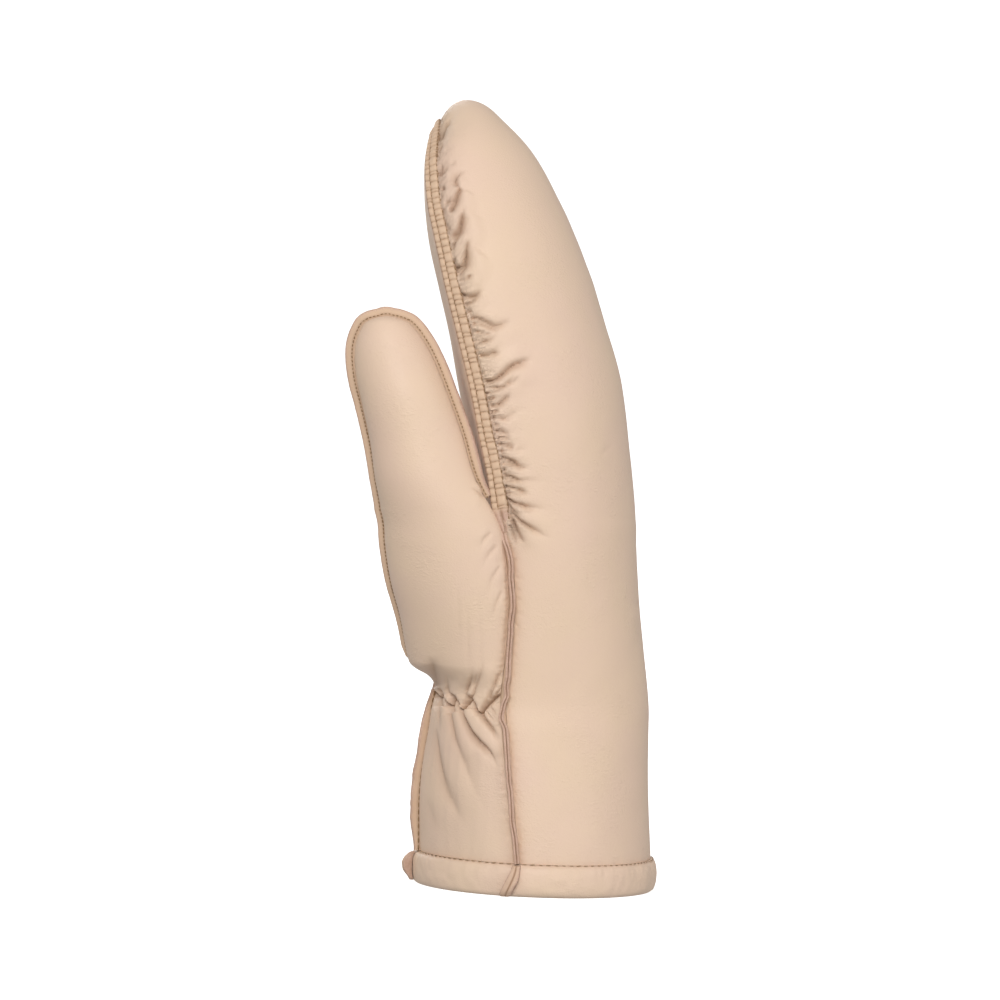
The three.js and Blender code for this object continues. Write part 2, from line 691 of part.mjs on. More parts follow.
function thumbRearLeather() {
  return leather({
    pointAt: rearPoint,
    places: [...thumbRootPlaces, ...thumbPlaces],
    columns: () => evenPlaces(0, 1, 10),
    relief: () => 0,
    sign: -1,
    firstEdge: (at) => (at >= thumbWeltPlace ? thumbOutward(at, 1) : null),
    lastEdge: (at) => (at > 2 ? thumbOutward(at, -1) : null),
    firstMargin: () => slot,
    lastMargin: (at) => slot + 0.4 * crotchEase * (1 - smooth(at, 2, 2.2)),
  });
}

// The welt of the hand's seam on one side, from the hem up to the ribbed strip
function sideWelt(side) {
  const outward = () => new THREE.Vector3(0, side, 0);
  const places = evenPlaces(0, stripStartPlace - 0.11, 22);
  return weltGeometry(places, (at) => seamPoint(at, side), outward, () => 1);
}

// The welt of the cuff's seam on the palm side
function palmWelt() {
  const outward = (at) => frontPoint(at, 0).sub(handSection(at).seam).setZ(0).normalize();
  const height = (at) => mix(1, 0.3, smooth(at, 0.8, 1));
  return weltGeometry(evenPlaces(0, 1.1, 13), (at) => frontPoint(at, 0), outward, height);
}

// The welt that runs up the thumb's outer edge, over its tip and down its inner edge to the crotch
function thumbWelt() {
  const start = thumbWeltPlace + 0.02;
  const turn = thumbEndPlace;
  const upLength = turn - start;
  const tipLength = 0.1;
  const total = upLength + tipLength + (turn - thumbWeltEnd);
  const pointAt = (travel) => {
    if (travel <= upLength) return frontPoint(start + travel, 0);
    const overTip = (travel - upLength) / tipLength;
    if (overTip < 1) return thumbTipPoint(turn, overTip);
    return frontPoint(turn - (travel - upLength - tipLength), 1);
  };
  const heart = (travel) => {
    const at = travel <= upLength ? start + travel : Math.min(turn, turn - (travel - upLength - tipLength));
    const { outer, inner } = thumbSection(Math.min(at, turn - 0.2));
    return outer.lerp(inner, 0.5);
  };
  const outward = (travel) => pointAt(travel).sub(heart(travel)).normalize();
  const height = (travel) => mix(1, 0.45, smooth(travel, total - 0.15, total));
  return weltGeometry(evenPlaces(0, total, 46), pointAt, outward, height);
}

// The round end of the thumb between its two edges
function thumbTipPoint(at, share) {
  const { outer, inner } = thumbSection(at);
  const angle = Math.PI * share;
  const point = outer.clone().lerp(inner, (1 - Math.cos(angle)) / 2);
  point.z += (thumbTipArch * outer.distanceTo(inner) + 2 * pieceGap) * Math.sin(angle);
  return point;
}

// The seam between the thumb's rear leather and the palm
function thumbRootWelt() {
  const betweenFaces = new THREE.Vector3(-0.5, 0.5, 0);
  const outward = (at) => rearPoint(at, 0.97).sub(rearPoint(at, 1)).normalize().add(betweenFaces);
  const pointAt = (at) => rearPoint(at, 1);
  return weltGeometry(evenPlaces(1.22, 1.8, 8), pointAt, outward, () => 0.3, 0.6 * weltThickness);
}

// The outline of the hem's section, from its inner foot round the outside to its inner side.
// out: distance from the leather's outer face; rise: height above the foot.
function hemOutline() {
  const middle = hemProud - hemThickness / 2;
  const half = hemThickness / 2;
  const foot = hemFootWidth / 2;
  const sideShares = [0.16, 0.42, 0.72, 0.9];
  const fullness = 1.25; // how soon the side of the roll is at its full width
  const side = sideShares.map((share) => {
    const roundness = Math.sqrt(1 - (2 * share - 1) ** 2);
    return [mix(foot, half, Math.min(1, fullness * roundness - 0.1)), share * hemHeight];
  });
  const outside = [[foot, 0], ...side, [foot, hemHeight]];
  const inside = outside.map(([out, rise]) => [-out, rise]).reverse();
  return [...outside, ...inside].map(([out, rise]) => [middle + out, rise]);
}

// A place round the hem, from 0 at the thumb side seam over the back and the palm, and its outward direction
function hemPlace(share) {
  const section = handSection(0);
  const onBack = (s) => backPoint(section, mix(-section.tuck, Math.PI + section.tuck, s));
  const onPalm = (s) => palmPoint(section, mix(section.palmTuck, Math.PI - section.palmTuck, s));
  const turned = ((share % 1) + 1) % 1;
  const pointAt = (s) => (s < 0.5 ? onBack(2 * s) : onPalm(2 * s - 1));
  const step = 0.004;
  const along = pointAt((turned + step) % 1).sub(pointAt((turned + 1 - step) % 1));
  const outward = new THREE.Vector3(along.y, -along.x, 0).normalize();
  return { point: pointAt(turned).setZ(0), outward };
}

function hemBand() {
  const outline = hemOutline();
  const rings = evenPlaces(0, 1, 60)
    .slice(0, -1)
    .map((share) => {
      const { point, outward } = hemPlace(share);
      return outline.map(([out, rise]) => {
        const corner = point.clone().addScaledVector(outward, out);
        return corner.addScaledVector(up, rise);
      });
    });
  return sweptSolid(rings, true);
}

// The end of a welt, folded flat over the outside of the hem. share: its place round the hem.
function hemTab(share) {
  const outside = hemOutline().slice(1, 5);
  const circumference = 2 * Math.PI * halfWidth;
  const corners = [-0.5, 0.5].map((side) => hemPlace(share + (side * tabWidth) / circumference));
  const rings = outside.map(([out, rise]) => {
    const layers = [
      [0, pieceGap],
      [0, pieceGap + tabThickness],
      [1, pieceGap + tabThickness],
      [1, pieceGap],
    ];
    return layers.map(([corner, lift]) => {
      const { point, outward } = corners[corner];
      return point.clone().addScaledVector(outward, out + lift).addScaledVector(up, rise);
    });
  });
  return sweptSolid(rings, false);
}

// Where the cuff's palm seam comes down on the hem
function palmSeamShare() {
  const tuck = handSection(0).palmTuck;
  const share = (radians(outerSeamAngle) - tuck) / (Math.PI - 2 * tuck);
  return 0.5 + share / 2;
}

// The point of the back leather at a distance from the finger seam, square to it, with its outward direction
function besideSeam(seamPlace, side, distance) {
  const step = 0.004;
  const edge = side < 0 ? 0 : 1;
  const start = backLeatherPoint(seamPlace, edge);
  const ahead = backLeatherPoint(Math.min(seamPlace + step, 3), edge);
  const behind = backLeatherPoint(seamPlace - step, edge);
  const along = ahead.sub(behind).normalize();
  const shareStep = 0.01;
  const inward = backLeatherPoint(seamPlace, Math.abs(edge - shareStep)).sub(start);
  const square = inward.addScaledVector(along, -inward.dot(along)).normalize();
  return surfaceNear(start.clone().addScaledVector(square, distance), seamPlace, edge);
}

// The nearest point of the back leather to a given one
function surfaceNear(target, at, share) {
  let best = backLeatherPoint(at, share);
  let atStep = 0.03;
  let shareStep = 0.03;
  for (let round = 0; round < 26; round++) {
    let moved = false;
    for (const [da, ds] of [
      [atStep, 0],
      [-atStep, 0],
      [0, shareStep],
      [0, -shareStep],
    ]) {
      const nextAt = THREE.MathUtils.clamp(at + da, 0, 3);
      const nextShare = THREE.MathUtils.clamp(share + ds, 0, 1);
      const candidate = backLeatherPoint(nextAt, nextShare);
      if (candidate.distanceTo(target) >= best.distanceTo(target)) continue;
      best = candidate;
      at = nextAt;
      share = nextShare;
      moved = true;
    }
    if (moved) continue;
    atStep /= 2;
    shareStep /= 2;
  }
  return best;
}

// The gathered strip that is sewn flat over the back leather, beside the finger seam and over the fingertips
function fingerSeamStrip() {
  const ribs = Math.round(fingerSeamLength / ribPitch) * 2;
  const reach = 3 - stripStartPlace;
  const humpWidth = 0.05;
  const shoulder = 0.6; // height of the strip's edges, as a share of its rise
  const places = evenPlaces(-reach, reach, 2 * ribs)
    .slice(0, -1)
    .map((place) => place + reach / (2 * ribs));
  const rings = places.map((place, k) => {
    const side = place < 0 ? -1 : 1;
    const at = 3 - Math.abs(place);
    const edge = besideSeam(at, side, stripEdge);
    const middle = besideSeam(at, side, stripEdge + stripWidth / 2);
    const far = besideSeam(at, side, stripEdge + stripWidth);
    const inward = far.clone().sub(edge);
    const along = cornerAlong(at, side);
    const outward = along.cross(inward).multiplyScalar(side).normalize();
    const rib = k % 2 === 0 ? ribHeight : 0;
    const hump = tipHump * Math.exp(-((place / humpWidth) ** 2));
    const floor = stripRise - stripThickness;
    return [
      [edge, floor],
      [edge, stripRise * shoulder],
      [edge.clone().lerp(middle, 0.3), stripRise + rib],
      [middle.clone().lerp(far, 0.7), stripRise + rib],
      [far, stripRise * shoulder],
      [far, floor],
    ].map(([point, lift]) => point.clone().addScaledVector(outward, lift + hump));
  });
  return sweptSolid(rings, false);
}

// The seam's own direction, toward the fingertips
function cornerAlong(at, side) {
  const step = 0.01;
  return seamPoint(Math.min(at + step, 3), side).sub(seamPoint(at - step, side)).normalize();
}

const leatherColour = "#dec6ad";
const edgeColour = "#cfb09c";
const leatherFinish = { color: leatherColour, roughness: 0.48, metalness: 0 };
const edgeFinish = { color: edgeColour, roughness: 0.7, metalness: 0 };

const mitten = new THREE.Group();
function add(name, geometry, finish) {
  const mesh = new THREE.Mesh(geometry, new THREE.MeshStandardMaterial(finish));
  mesh.name = name;
  mitten.add(mesh);
}

add("back_leather", backLeather(), leatherFinish);
add("palm_leather", palmLeather(), leatherFinish);
add("thumb_front_leather", thumbFrontLeather(), leatherFinish);
add("thumb_rear_leather", thumbRearLeather(), leatherFinish);
add("side_welt_thumb_side", sideWelt(-1), edgeFinish);
add("side_welt_little_finger_side", sideWelt(1), edgeFinish);
add("palm_welt", palmWelt(), edgeFinish);
add("thumb_welt", thumbWelt(), edgeFinish);
add("thumb_root_welt", thumbRootWelt(), edgeFinish);
add("finger_seam_strip", fingerSeamStrip(), leatherFinish);
add("hem_band", hemBand(), leatherFinish);
add("side_welt_tail", hemTab(0), edgeFinish);
add("little_finger_welt_tail", hemTab(0.5), edgeFinish);
add("palm_welt_tail", hemTab(palmSeamShare()), edgeFinish);

// The frame stands at the middle of the mitten's footprint, on the surface below it.
const extent = new THREE.Box3().setFromObject(mitten);
mitten.position.set(-(extent.min.x + extent.max.x) / 2, -(extent.min.y + extent.max.y) / 2, -extent.min.z);

export default mitten;
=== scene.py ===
import math
import bpy
import numpy as np
from mathutils import Matrix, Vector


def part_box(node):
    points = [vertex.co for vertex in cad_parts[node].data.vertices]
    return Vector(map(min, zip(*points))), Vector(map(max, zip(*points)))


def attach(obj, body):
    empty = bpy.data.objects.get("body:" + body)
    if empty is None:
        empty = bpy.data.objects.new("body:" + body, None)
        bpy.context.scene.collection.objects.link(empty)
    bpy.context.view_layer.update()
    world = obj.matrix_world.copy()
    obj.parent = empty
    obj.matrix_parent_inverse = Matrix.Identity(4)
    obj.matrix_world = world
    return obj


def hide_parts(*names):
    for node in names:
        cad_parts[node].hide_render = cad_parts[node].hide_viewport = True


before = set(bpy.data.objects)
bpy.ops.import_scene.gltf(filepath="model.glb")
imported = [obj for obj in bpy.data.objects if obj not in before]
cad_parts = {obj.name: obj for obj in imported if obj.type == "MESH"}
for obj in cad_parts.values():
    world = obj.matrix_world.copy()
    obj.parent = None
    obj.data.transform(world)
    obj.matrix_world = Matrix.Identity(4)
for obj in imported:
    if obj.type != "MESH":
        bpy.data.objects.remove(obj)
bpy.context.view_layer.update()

# Lengths are millimetres in the mitten's own frame; placed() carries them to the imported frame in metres.
# +X is the back of the hand, -X the palm, -Y the thumb side, and the hem stands on Z = 0.
hemHeight = 11
wristHeight = 66
crotchHeight = 129.5
thumbHeight = 195.6
archHeight = 261.5
halfWidth = 50
handDepth = 54
palmSwell = 35
tipReach = 45
thumbSpread = 51
thumbSwell = 16
wall = 3
pieceGap = 0.35
hemGap = 0.14
stripStart = 1.9
thumbWeltStart = 1.18
thumbEnd = 2.997
outerSeamAngle = 100
thumbRise = thumbHeight - crotchHeight
thumbTuck = 15.0
thumbRootTuck = 45.0

# The photograph's camera: pixels of the photograph fall on the mitten through photoPlace().
photoCamera = {
    "lens": 150, "sensor": 36, "pixels": 1000, "distance": 1462.5, "x": -15.87, "z": 134.4, "roll": 2.4,
}
pixelSize = photoCamera["sensor"] / photoCamera["lens"] * photoCamera["distance"] / photoCamera["pixels"]


def table(names, *rows):
    return dict(zip(names.split(), np.array(rows, float).T))


# Sections of the hand: 0 is the hem, 1 the wrist, 2 the thumb crotch and 3 the top of the palm leather.
# at and height are places on that scale; tucks are degrees and the rest are shares of the lengths above.
handRows = table(
    "at height seam depth lean width tuck swell palmTuck",
    (0, 0, 0.11, 0.88, 0, 0.95, 8, 1, 8),
    (0.4, 0.4, 0.18, 0.905, 0, 0.93, 9, 0.92, 9),
    (0.8, 0.8, 0.24, 0.933, 0, 0.895, 10, 0.77, 10),
    (1, 1, 0.265, 0.944, 0, 0.875, 10, 0.7, 11),
    (1.3, 1.3, 0.235, 0.875, 0, 0.9, 11, 0.55, 12),
    (1.6, 1.6, 0.235, 0.825, 0, 0.925, 13, 0.4, 14),
    (1.85, 1.85, 0.29, 0.845, 0, 0.935, 16, 0.27, 16),
    (2, 2, 0.365, 0.895, 0, 0.936, 18, 0.15, 18),
    (2.13, 2.155, 0.5, 0.955, 2, 0.933, 21, 0.11, 20),
    (2.264, 2.314, 0.61, 0.976, 5.5, 0.926, 22, 0.11, 20),
    (2.384, 2.458, 0.73, 0.95, 10.5, 0.912, 22, 0.075, 20),
    (2.492, 2.587, 0.84, 0.914, 19, 0.88, 22, 0.066, 20),
    (2.587, 2.701, 0.928, 0.85, 25, 0.83, 21, 0.066, 20),
    (2.676, 2.799, 1, 0.764, 31, 0.74, 20, 0.034, 20),
    (2.752, 2.879, 1.028, 0.626, 39, 0.63, 18, 0.02, 20),
    (2.829, 2.934, 1.028, 0.51, 45, 0.476, 16, 0.02, 20),
    (2.895, 2.975, 1.015, 0.37, 52, 0.325, 13, 0.02, 20),
    (2.949, 2.996, 1.0, 0.24, 59, 0.2, 10, 0.02, 20),
    (3, 3.003, 0.99, 0.09, 66, 0.08, 8, 0.012, 20),
)

# Sections of the thumb: 1 is the wrist, 2 the crotch and 3 the thumb's tip.
thumbRows = table(
    "at outer outerSide outerRise inner innerSide innerRise front rear",
    (1, 0.5, 0.16, 0, 0, 0.93, 0, 0.5, 0),
    (1.17, 0.645, 0.25, 0, 0, 0.93, 0, 0.7, 0.03),
    (1.41, 0.735, 0.36, 0, 0, 0.93, 0, 0.88, 0.12),
    (1.62, 0.81, 0.44, 0, 0, 0.93, 0, 0.97, 0.3),
    (1.82, 0.82, 0.5, 0, 0, 0.93, 0, 1, 0.53),
    (2, 0.784, 0.54, 0, 0, 0.936, 0, 1, 0.5),
    (2.18, 0.825, 0.58, 0.159, 0.15, 0.925, 0.197, 1, 0.62),
    (2.38, 0.873, 0.62, 0.348, 0.245, 0.88, 0.409, 0.97, 0.74),
    (2.57, 0.941, 0.66, 0.538, 0.35, 0.85, 0.606, 0.91, 0.81),
    (2.75, 0.998, 0.7, 0.697, 0.451, 0.82, 0.78, 0.78, 0.72),
    (2.86, 1.012, 0.73, 0.84, 0.539, 0.8, 0.894, 0.62, 0.59),
    (2.94, 0.968, 0.76, 0.948, 0.63, 0.785, 0.972, 0.42, 0.37),
    (2.975, 0.915, 0.775, 0.982, 0.71, 0.78, 0.996, 0.25, 0.2),
    (3, 0.83, 0.78, 1.001, 0.775, 0.78, 1.004, 0.08, 0.08),
)
thumbRootRows = table(
    "at angle",
    (0, 100), (1, 100), (1.1, 92), (1.2, 93), (1.41, 99), (1.62, 109), (1.82, 130), (1.93, 148), (2, 162),
)


def mix(a, b, share):
    return a + (b - a) * share


def smooth(x, low, high):
    t = np.clip((x - low) / (high - low), 0, 1)
    return t * t * (3 - 2 * t)


def unit(v):
    return v / np.maximum(np.linalg.norm(v, axis=-1, keepdims=True), 1e-9)


def vector(x, y, z):
    return np.stack(np.broadcast_arrays(*(np.asarray(c, float) for c in (x, y, z))), axis=-1)


# All columns of a table at the given places, on smooth curves through its rows
def readTable(rows, at):
    places = rows["at"]
    last = len(places) - 1
    at = np.asarray(at, float)
    index = np.clip(np.searchsorted(places, at, side="right") - 1, 0, last - 1)
    span = places[index + 1] - places[index]
    t = np.clip((at - places[index]) / span, 0, 1)
    before = np.maximum(np.arange(last + 1) - 1, 0)
    after = np.minimum(np.arange(last + 1) + 1, last)
    result = {}
    for name, values in rows.items():
        slopes = (values[after] - values[before]) / (places[after] - places[before])
        result[name] = (
            (2 * t**3 - 3 * t**2 + 1) * values[index]
            + (t**3 - 2 * t**2 + t) * slopes[index] * span
            + (3 * t**2 - 2 * t**3) * values[index + 1]
            + (t**3 - t**2) * slopes[index + 1] * span
        )
    return result


def heightAt(share):
    low = mix(hemHeight + hemGap, wristHeight, share)
    middle = mix(wristHeight, crotchHeight, share - 1)
    high = mix(crotchHeight, archHeight, share - 2)
    return np.where(share < 1, low, np.where(share < 2, middle, high))


def handSection(at):
    row = readTable(handRows, at)
    lean = np.radians(row["lean"])
    return {
        "seam": vector(-row["seam"] * tipReach, 0, heightAt(row["height"])),
        "outward": vector(np.cos(lean), 0, np.sin(lean)),
        "depth": row["depth"] * handDepth,
        "seamWidth": row["width"] * halfWidth,
        "tuck": np.radians(row["tuck"]),
        "swell": row["swell"] * palmSwell,
        "palmTuck": np.radians(row["palmTuck"]),
    }


def backLeatherPoint(at, share):
    section = handSection(at)
    tuck = section["tuck"]
    angle = mix(-tuck, math.pi + tuck, share)
    rise = section["depth"] * (np.sin(angle) + np.sin(tuck)) / (1 + np.sin(tuck))
    point = section["seam"] + section["outward"] * rise[..., None]
    point[..., 1] = -section["seamWidth"] * np.cos(angle) / np.cos(tuck)
    return point


def palmPoint(section, angle):
    tuck = section["palmTuck"]
    rise = section["swell"] * (np.sin(angle) - np.sin(tuck)) / (1 - np.sin(tuck))
    point = section["seam"] + vector(-rise, 0, 0)
    point[..., 1] = section["seamWidth"] * np.cos(angle) / np.cos(tuck)
    return point


def thumbSection(at):
    row = readTable(thumbRows, at)
    hand = handSection(np.minimum(at, 2))
    outer = hand["seam"] + vector(-row["outer"] * thumbSpread, 0, row["outerRise"] * thumbRise)
    outer[..., 1] = -row["outerSide"] * halfWidth
    inner = hand["seam"] + vector(-row["inner"] * thumbSpread, 0, row["innerRise"] * thumbRise)
    inner[..., 1] = np.where(np.asarray(at) <= 2, -hand["seamWidth"], -row["innerSide"] * halfWidth)
    front, rear = row["front"] * thumbSwell, row["rear"] * thumbSwell
    return {"outer": outer, "inner": inner, "front": front, "rear": rear}


# A point on the swollen face between two edges of the thumb
def swollenPoint(start, end, swell, side, share, tuckDegrees):
    tuck = np.radians(tuckDegrees)
    angle = mix(tuck, math.pi - tuck, share)
    travel = (1 - np.cos(angle) / np.cos(tuck)) / 2
    point = start + (end - start) * travel[..., None]
    across = end - start
    across = unit(vector(across[..., 0], across[..., 1], 0))
    rise = swell * (np.sin(angle) - np.sin(tuck)) / (1 - np.sin(tuck))
    return point + vector(across[..., 1] * side * rise, -across[..., 0] * side * rise, 0)


def frontPoint(at, share):
    hand = handSection(np.minimum(at, 2))
    onCuff = palmPoint(hand, mix(math.radians(outerSeamAngle), math.pi - hand["palmTuck"], share))
    thumb = thumbSection(np.maximum(at, 1))
    onThumb = swollenPoint(thumb["outer"], thumb["inner"], thumb["front"], 1, share, thumbTuck)
    growth = smooth(np.asarray(at, float), 1, thumbWeltStart)
    return onCuff + (onThumb - onCuff) * np.asarray(growth)[..., None]


def thumbRootAngle(at):
    return np.radians(np.interp(at, thumbRootRows["at"], thumbRootRows["angle"]))


def rearPoint(at, share):
    at, share = np.broadcast_arrays(np.asarray(at, float), np.asarray(share, float))
    thumb = thumbSection(at)
    onPalm = palmPoint(handSection(np.minimum(at, 2)), thumbRootAngle(at))
    root = np.where((at < 2)[..., None], onPalm, thumb["inner"])
    tuckDegrees = mix(thumbRootTuck, thumbTuck, smooth(at, 2, 2.4))
    return swollenPoint(frontPoint(at, at * 0), root, thumb["rear"], -1, share, tuckDegrees)


def palmLeatherPoint(at, share):
    section = handSection(at)
    full = math.pi - section["palmTuck"]
    edge = np.where(np.asarray(at) >= 2, full, np.minimum(thumbRootAngle(at), full))
    return palmPoint(section, mix(section["palmTuck"], edge, share))


def seamPoint(at, side):
    section = handSection(at)
    point = section["seam"].copy()
    point[..., 1] = side * section["seamWidth"]
    return point


# The direction in which two leathers meet at a seam of the hand
def cornerDirection(at, side):
    step = 0.01
    along = unit(seamPoint(np.minimum(at + step, 3), side) - seamPoint(np.maximum(at - step, 0), side))
    towardPalm = np.array([-1.0, 0, 0])
    inPlane = unit(np.cross(along, towardPalm) * -side)
    return unit(0.69 * inPlane + 0.72 * towardPalm)


def thumbOutward(at, side):
    thumb = thumbSection(at)
    return unit(thumb["outer"] - thumb["inner"]) * side


# The line of the hem: shares of its way round, over the back and then over the palm
def hemLine(share):
    turned = np.asarray(share, float) % 1
    section = handSection(np.zeros_like(turned))
    palmTuck = section["palmTuck"]
    angle = mix(palmTuck, math.pi - palmTuck, 2 * turned - 1)
    onBack = backLeatherPoint(np.zeros_like(turned), 2 * turned)
    onPalm = palmPoint(section, angle)
    point = np.where((turned < 0.5)[..., None], onBack, onPalm)
    point[..., 2] = 0
    return point


def hemOutward(share):
    step = 0.004
    along = hemLine(share + step) - hemLine(share - step)
    return unit(vector(along[..., 1], -along[..., 0], 0))


hem = {"thickness": 6, "proud": 1.9, "foot": 2.4, "rows": 15, "length": 290.0}
roundHem = np.linspace(0, 1, 720)
hemRound = hemLine(roundHem) + hemOutward(roundHem) * hem["proud"]
# Where the mitten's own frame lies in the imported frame, from the hem band's box
hemLow, hemHigh = (np.array(corner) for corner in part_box("hem_band"))
shift = np.array([
    (hemLow[0] + hemHigh[0]) / 2 - (hemRound[:, 0].min() + hemRound[:, 0].max()) / 2000,
    (hemLow[1] + hemHigh[1]) / 2,
    0,
])
print("frame shift in mm", np.round(shift * 1000, 2))


def placed(points):
    return np.asarray(points) * 0.001 + shift


# Photograph pixels (right, down) of points in the mitten's own frame
def photoPlace(points):
    roll = math.radians(photoCamera["roll"])
    scale = pixelSize * (photoCamera["distance"] + points[..., 1]) / photoCamera["distance"]
    right = (points[..., 0] - photoCamera["x"]) / scale
    rise = (points[..., 2] - photoCamera["z"]) / scale
    middle = photoCamera["pixels"] / 2
    return np.stack([
        middle + right * math.cos(roll) + rise * math.sin(roll),
        middle - (rise * math.cos(roll) - right * math.sin(roll)),
    ], axis=-1)


# The same for the little finger side, which is hidden in the photograph and takes the thumb side's folds
def mirroredPlace(points):
    mirrored = points.copy()
    mirrored[..., 1] = -np.abs(points[..., 1])
    hidden = smooth(points[..., 1], 0, 8)[..., None]
    return photoPlace(mirrored) + hidden * np.array([0.0, 9.0])


# Smooth noise between -1 and 1 with cells of a given size, the same in each run
def softNoise(points, cell, seed):
    scaled = points / cell + seed * 17.31
    base = np.floor(scaled).astype(np.int64)
    t = scaled - base
    t = t * t * (3 - 2 * t)
    total = np.zeros(points.shape[:-1])
    for corner in range(8):
        offset = np.array([corner & 1, (corner >> 1) & 1, (corner >> 2) & 1])
        lattice = base + offset
        mixed = lattice[..., 0] * 73856093 ^ lattice[..., 1] * 19349663 ^ lattice[..., 2] * 83492791
        mixed = (mixed ^ (mixed >> 13)) * 1274126177 & 0x7FFFFFFF
        value = mixed / 0x3FFFFFFF - 1
        weight = np.prod(np.where(offset == 1, t, 1 - t), axis=-1)
        total += weight * value
    return total


# A smooth path through a few points
def smoothPath(points, perSegment=12):
    p = np.array(points, float)
    padded = np.vstack([2 * p[0] - p[1], p, 2 * p[-1] - p[-2]])
    t = np.linspace(0, 1, perSegment, endpoint=False)[:, None]
    parts = []
    for k in range(1, len(p)):
        a, b, c, d = padded[k - 1], padded[k], padded[k + 1], padded[k + 2]
        curve = 2 * b + (c - a) * t + (2 * a - 5 * b + 4 * c - d) * t**2
        parts.append(0.5 * (curve + (3 * b - a - 3 * c + d) * t**3))
    return np.vstack(parts + [p[-1:]])


# Places in the photograph beside a path: its nearest step, their side of it, and how many millimetres away
def besidePath(places, path):
    gaps = places[:, None, :] - path[None]
    nearest = (gaps**2).sum(2).argmin(1)
    tangents = unit(np.gradient(path, axis=0))[nearest]
    offset = gaps[np.arange(len(places)), nearest]
    across = tangents[:, 0] * offset[:, 1] - tangents[:, 1] * offset[:, 0]
    return nearest, across, np.hypot(offset[:, 0], offset[:, 1]) * pixelSize


# A fold presses a sharp valley into the leather, between rounded lips. Its points are photograph pixels, from
# the deep end on, and its width is millimetres.
# side: 1 puts the steep flank on the right of the fold's travel, -1 on its left
# ends: the shares of its length over which it fades in and out; lip: height of the lips beside the valley
# spread: how much wider it grows along its length; darkness: how dark the painted shade in its crease is
foldShape = {"depth": 1.3, "rounding": 0.12, "steep": 0.45, "gentle": 0.9, "crest": 1.6, "window": (2.6, 6.6)}


def fold(depth, *points, width=0.85, side=0, ends=(0.02, 0.6), lip=0.45, spread=0.8, darkness=0.75):
    return {
        "points": points, "depth": depth, "width": width, "side": side, "ends": ends, "lip": lip,
        "spread": spread, "darkness": darkness,
    }


def foldRelief(places, folds):
    rise = np.zeros(len(places))
    creaseShade = np.zeros(len(places))
    for f in folds:
        path = smoothPath(f["points"])
        width, side, lip = f["width"], f["side"], f["lip"]
        fadeIn, fadeOut = f["ends"]
        reach = 7 * width * (1 + f["spread"]) / pixelSize
        near = np.flatnonzero(((places > path.min(0) - reach) & (places < path.max(0) + reach)).all(1))
        if not len(near):
            continue
        nearest, across, distance = besidePath(places[near], path)
        share = nearest / (len(path) - 1)
        strength = 1 - smooth(share, 1 - fadeOut, 1)
        if fadeIn > 0:
            strength = strength * smooth(share, 0, max(fadeIn, 1e-3))
        spreading = width * (1 + f["spread"] * share)
        steep, gentle = 1 - foldShape["steep"] * abs(side), 1 + foldShape["gentle"] * abs(side)
        flank = spreading * np.where(across * side > 0, steep, gentle)
        rounding = foldShape["rounding"]
        valley = np.exp(-(np.sqrt(distance**2 + rounding**2) - rounding) / flank)
        fromValley = distance / (foldShape["crest"] * flank)
        crest = fromValley * np.exp(1 - fromValley)
        windowStart, windowEnd = foldShape["window"]
        window = 1 - smooth(distance, windowStart * spreading, windowEnd * spreading)
        amount = foldShape["depth"] * f["depth"] * strength * window
        rise[near] += amount * (lip * crest - (1 + lip * 0.4) * valley)
        # Painted shade along the fold's valley, darkest at its bottom
        shadow = np.exp(-distance / (0.45 * flank + 0.08))
        dark = f["darkness"] * np.clip(f["depth"], 0, 1.1) * strength * shadow
        creaseShade[near] = np.maximum(creaseShade[near], dark)
    return rise, creaseShade


# Keeps values between -low and high, without an edge
def softLimit(values, low, high):
    return np.where(values < 0, -low * np.tanh(-values / low), high * np.tanh(values / high))


def lengthsAlong(points):
    return np.concatenate([[0], np.cumsum(np.linalg.norm(np.diff(points, axis=0), axis=1))])


# A line's points at given distances along it
def pointsAlong(distances, lengths, line):
    return np.stack([np.interp(distances, lengths, line[:, k]) for k in range(line.shape[1])], axis=1)


# The nearest point of a line for each of many points: its index and its distance
def nearestOf(points, line, batch=4000):
    index = np.empty(len(points), int)
    gap = np.empty(len(points))
    for start in range(0, len(points), batch):
        part = slice(start, start + batch)
        squares = ((points[part, None] - line[None]) ** 2).sum(2)
        index[part] = squares.argmin(1)
        gap[part] = np.sqrt(squares.min(1))
    return index, gap


def addObject(name, data):
    made = bpy.data.objects.new(name, data)
    bpy.context.scene.collection.objects.link(made)
    return made


def shadeSmooth(mesh):
    mesh.polygons.foreach_set("use_smooth", np.ones(len(mesh.polygons), dtype=bool))


# Meshes
def makePiece(name, vertices, faces, slot, material, attributes, smoothAngle):
    mesh = bpy.data.meshes.new(name)
    mesh.from_pydata(placed(vertices).tolist(), [], faces)
    for key, values in attributes.items():
        layer = mesh.attributes.new(key, "FLOAT", "POINT")
        layer.data.foreach_set("value", np.asarray(values, dtype=np.float32))
    shadeSmooth(mesh)
    mesh.set_sharp_from_angle(angle=math.radians(smoothAngle))
    mesh.materials.append(material)
    mesh.update()
    piece = addObject(name, mesh)
    piece["materialSlot"] = slot
    return piece


def gridFaces(rows, columns, start=0, turned=False):
    i, j = np.meshgrid(np.arange(rows - 1), np.arange(columns - 1), indexing="ij")
    a = start + (i * columns + j).ravel()
    quads = np.stack([a, a + 1, a + columns + 1, a + columns], axis=1)
    if turned:
        quads = quads[:, ::-1]
    return quads.tolist()


